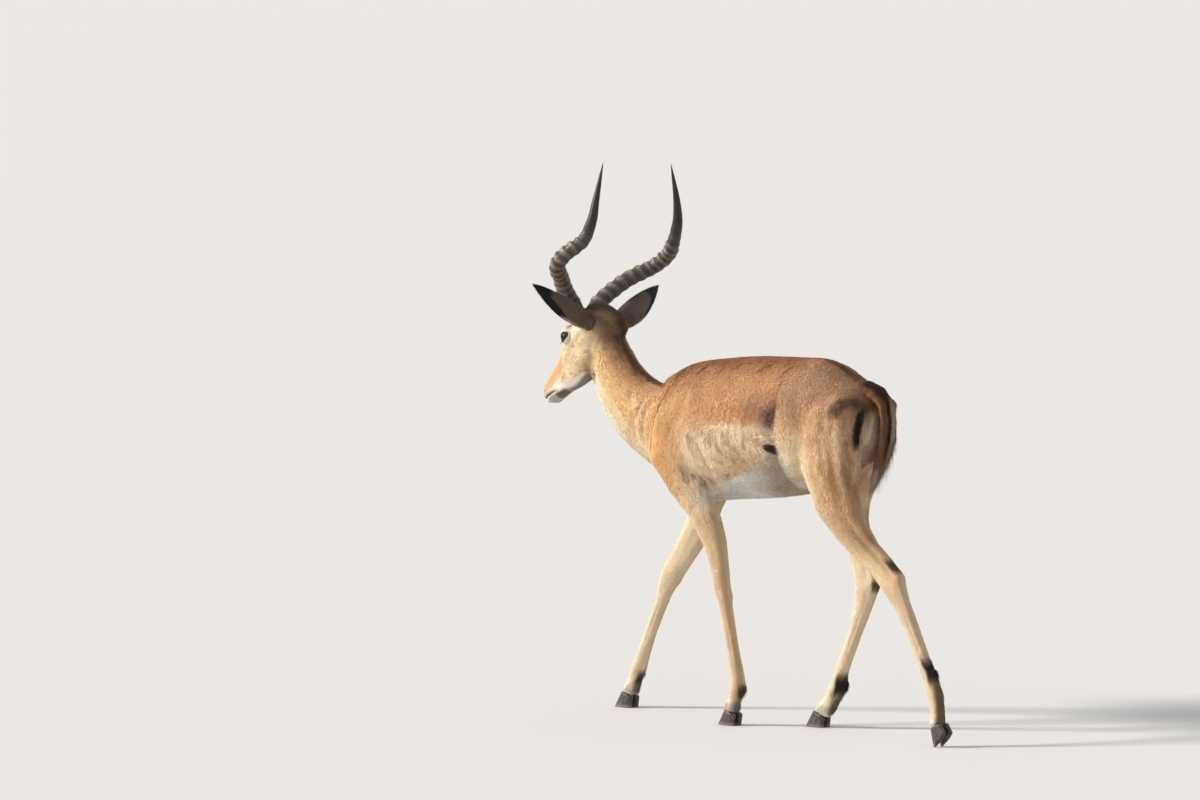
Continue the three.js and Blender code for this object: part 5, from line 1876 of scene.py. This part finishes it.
# ------------------------------------------------------------------------------ tail, feet and edges
def tail_brush(skin):
    """Long hair of the tail: each in the tail's colour at its root, white towards its tip lower down."""
    count = amount(2000)
    low = 1 + 1.2 * smoothstep(0.80, 0.62, skin.middles[:, 2])
    roots, normals, ways, _ = skin.scatter(skin.on("tail") & (skin.middles[:, 2] < 0.765), low, count)
    colours = np.clip(tail_marks(roots, np.ones(count), np.zeros((count, 3))), 0, 1)
    side = np.sign(normals[:, 1]) * smoothstep(0.2, 0.9, np.abs(normals[:, 1]))
    starts = ways + normals * 0.12 + 0.04 * rng.normal(size=ways.shape)
    bends = np.stack([np.full(count, -0.02), 0.02 * side, np.full(count, -0.28)], 1)
    room = np.clip((roots[:, 2] - 0.585) / 0.9, 0.008, 0.055)
    lengths = np.minimum(rng.uniform(0.024, 0.045, count), room)
    # the tips whiten towards the buttocks' white, which carries painted shade
    pale = mixed(colours, RUMP_WHITE_IN_SHADE, smoothstep(0.3, 0.8, np.abs(normals[:, 1])) * 0.4)
    pale = mixed(pale, RUMP_WHITE_IN_SHADE, smoothstep(0.76, 0.68, roots[:, 2]))
    places = round_axis(roots, *AXES["tail"])
    widths = rng.uniform(0.0007, 0.0012, count)
    return strands("hair_tail", roots, starts, bends, lengths, widths, colours, places, pale)


def leg_tufts(skin):
    """Longer hair on the legs: the black glands' tufts, the fringe over the hooves, the pasterns' backs."""
    pieces = []
    for leg in LEGS:
        own = skin.on("leg_" + leg)
        height, back, _ = leg_place(skin.middles, leg, skin.legs[leg])
        tuft = TUFT_HEIGHTS[leg]
        spread, most = (0.030, 420) if leg.endswith("hind") else (0.016, 260)
        # which faces, how many hairs, how long and how far they stand off
        zones = (
            (own & (np.abs(height - tuft) < spread) & (back > 0.1), most, 0.012, 0.42),
            (own & (height < tuft - 0.02) & (height > HOOF_TOP) & (back > 0.3), 320, 0.008, 0.30),
            (own & (height < 0.060) & (height > 0.040), 700, 0.0095, 0.22),
        )
        hairs = []
        for chosen, count, length, lift in zones:
            count = amount(count)
            roots, normals, ways, corner = skin.scatter(chosen, 1.0, count)
            colours = skin.colours(roots, normals, corner)
            starts = ways + normals * lift + 0.08 * rng.normal(size=ways.shape)
            bends = np.tile((0.0, 0.0, -0.25), (count, 1)) - normals * 0.08
            lengths = length * rng.uniform(0.7, 1.2, count)
            places = round_leg(roots, leg, skin.legs[leg])
            hairs.append((roots, starts, bends, lengths, colours, places))
        roots, starts, bends, lengths, colours, places = (np.concatenate(part) for part in zip(*hairs))
        widths = rng.uniform(0.0006, 0.0009, len(roots))
        name = "hair_leg_" + leg
        pieces.append(strands(name, roots, starts, bends, lengths, widths, colours, places, segments=3))
    return pieces


def edge_hair(skin):
    """Slightly longer hair where the coat hangs: belly, flank fold, chest, throat and buttocks."""
    x, _, z = skin.middles.T
    below = (skin.on("trunk") | skin.on("neck")) & (skin.facing[:, 2] < -0.35)
    behind = (skin.facing[:, 0] > 0.35) & (x > 0.38) & (z > 0.55) & (z < 0.80)
    count = amount(3800)
    roots, normals, ways, corner = skin.scatter(below | behind, 1.0, count)
    colours = skin.colours(roots, normals, corner)
    starts = ways + normals * 0.22 + 0.06 * rng.normal(size=ways.shape)
    bends = np.tile((0.0, 0.0, -0.10), (count, 1))
    lengths = rng.uniform(0.010, 0.017, count)
    widths = rng.uniform(0.0007, 0.0011, count)
    places = round_axis(roots, *AXES["trunk"])
    return strands("hair_edges", roots, starts, bends, lengths, widths, colours, places, segments=3)


WHISKERS, WHISKER_WIDTH = 56, 0.0003


def whiskers(skin):
    """Sparse short bristles on the lips and chin."""
    along, out, up = to_half_head(skin.middles).T
    lips = skin.on("head") & (along > 0.255) & (up < -0.030) & (out > 0.006)
    roots, normals, _, _ = skin.scatter(lips, 1.0, WHISKERS)
    starts = normals + 0.2 * HEAD_ALONG + 0.2 * rng.normal(size=normals.shape)
    bends = np.tile(-0.2 * HEAD_UP - 0.3 * HEAD_ALONG, (WHISKERS, 1))
    lengths = rng.uniform(0.005, 0.012, WHISKERS)
    widths, colours = np.full(WHISKERS, WHISKER_WIDTH), painted(BROWN, WHISKERS)
    places = round_axis(roots, *AXES["head"])
    return strands("whiskers", roots, starts, bends, lengths, widths, colours, places)


# ------------------------------------------------------------------------------ assembly
def place_piece(mesh, material, slot, *nodes):
    """Puts a mesh into the scene as a piece of the body, in place of the nodes it stands for."""
    mesh.materials.append(material)
    piece = new_object(mesh.name, mesh)
    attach(piece, "root")
    if nodes:
        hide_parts(*nodes)


place_camera()
build_studio()
fur = coat_material("fur", 0.0, 900)
undercoat = coat_material("undercoat", 0.5, 700)
horn_material = plain_material("horn", 0.46, 0.4)
hoof_material = plain_material("hoof", 0.40, 0.45)
eye_material = plain_material("eye", 0.20, 0.14, 0.04)
lid_material = plain_material("lid", 0.35, 0.5)

skin_mesh, leg_sections = grow_skin()
skin_mesh = thinned(skin_mesh, SKIN_TRIANGLES)
skin_mesh.name = "skin"
skin = Skin(skin_mesh, leg_sections)
paint(skin_mesh, skin.colours(skin.points, skin.normals, slice(None)) * UNDERCOAT_TONE)
smooth_faces(skin_mesh)
place_piece(skin_mesh, undercoat, "trunk_coat", *FLESH)
for piece_mesh, kind in lay_coat(skin):
    place_piece(piece_mesh, fur, kind + "_coat")
place_piece(tail_brush(skin), fur, "tail_coat")
place_piece(edge_hair(skin), fur, "trunk_coat")
for piece_mesh in leg_tufts(skin):
    place_piece(piece_mesh, fur, "leg_coat")
place_piece(whiskers(skin), fur, "head_coat")

for side in SIDES:
    leaf = ear_skin(side)
    _, ear_along, _, _, _ = ear_frame(side)
    leaf_normals = normals_of(leaf)
    leaf_ways = unit(ear_along - leaf_normals * (leaf_normals @ ear_along)[:, None])
    surface = Surface(leaf, leaf_ways)
    paint(leaf, ear_marks(surface.points, surface.normals, side) * UNDERCOAT_TONE)
    smooth_faces(leaf)
    leaf.name = "ear_leaf_" + side
    place_piece(leaf, undercoat, "ear_coat", "ear_" + side)
    for piece_mesh in ear_hair(surface, side):
        place_piece(piece_mesh, fur, "ear_coat")
    place_piece(horn(side), horn_material, "horn", "horn_" + side)
    place_piece(eye_ball(side), eye_material, "eye", "eye_" + side)
    place_piece(lid_rim(side), lid_material, "head_coat")
    place_piece(lashes(side), fur, "head_coat")
for leg in LEGS:
    place_piece(hoof(leg), hoof_material, "hoof", f"hoof_{leg}_inner", f"hoof_{leg}_outer")
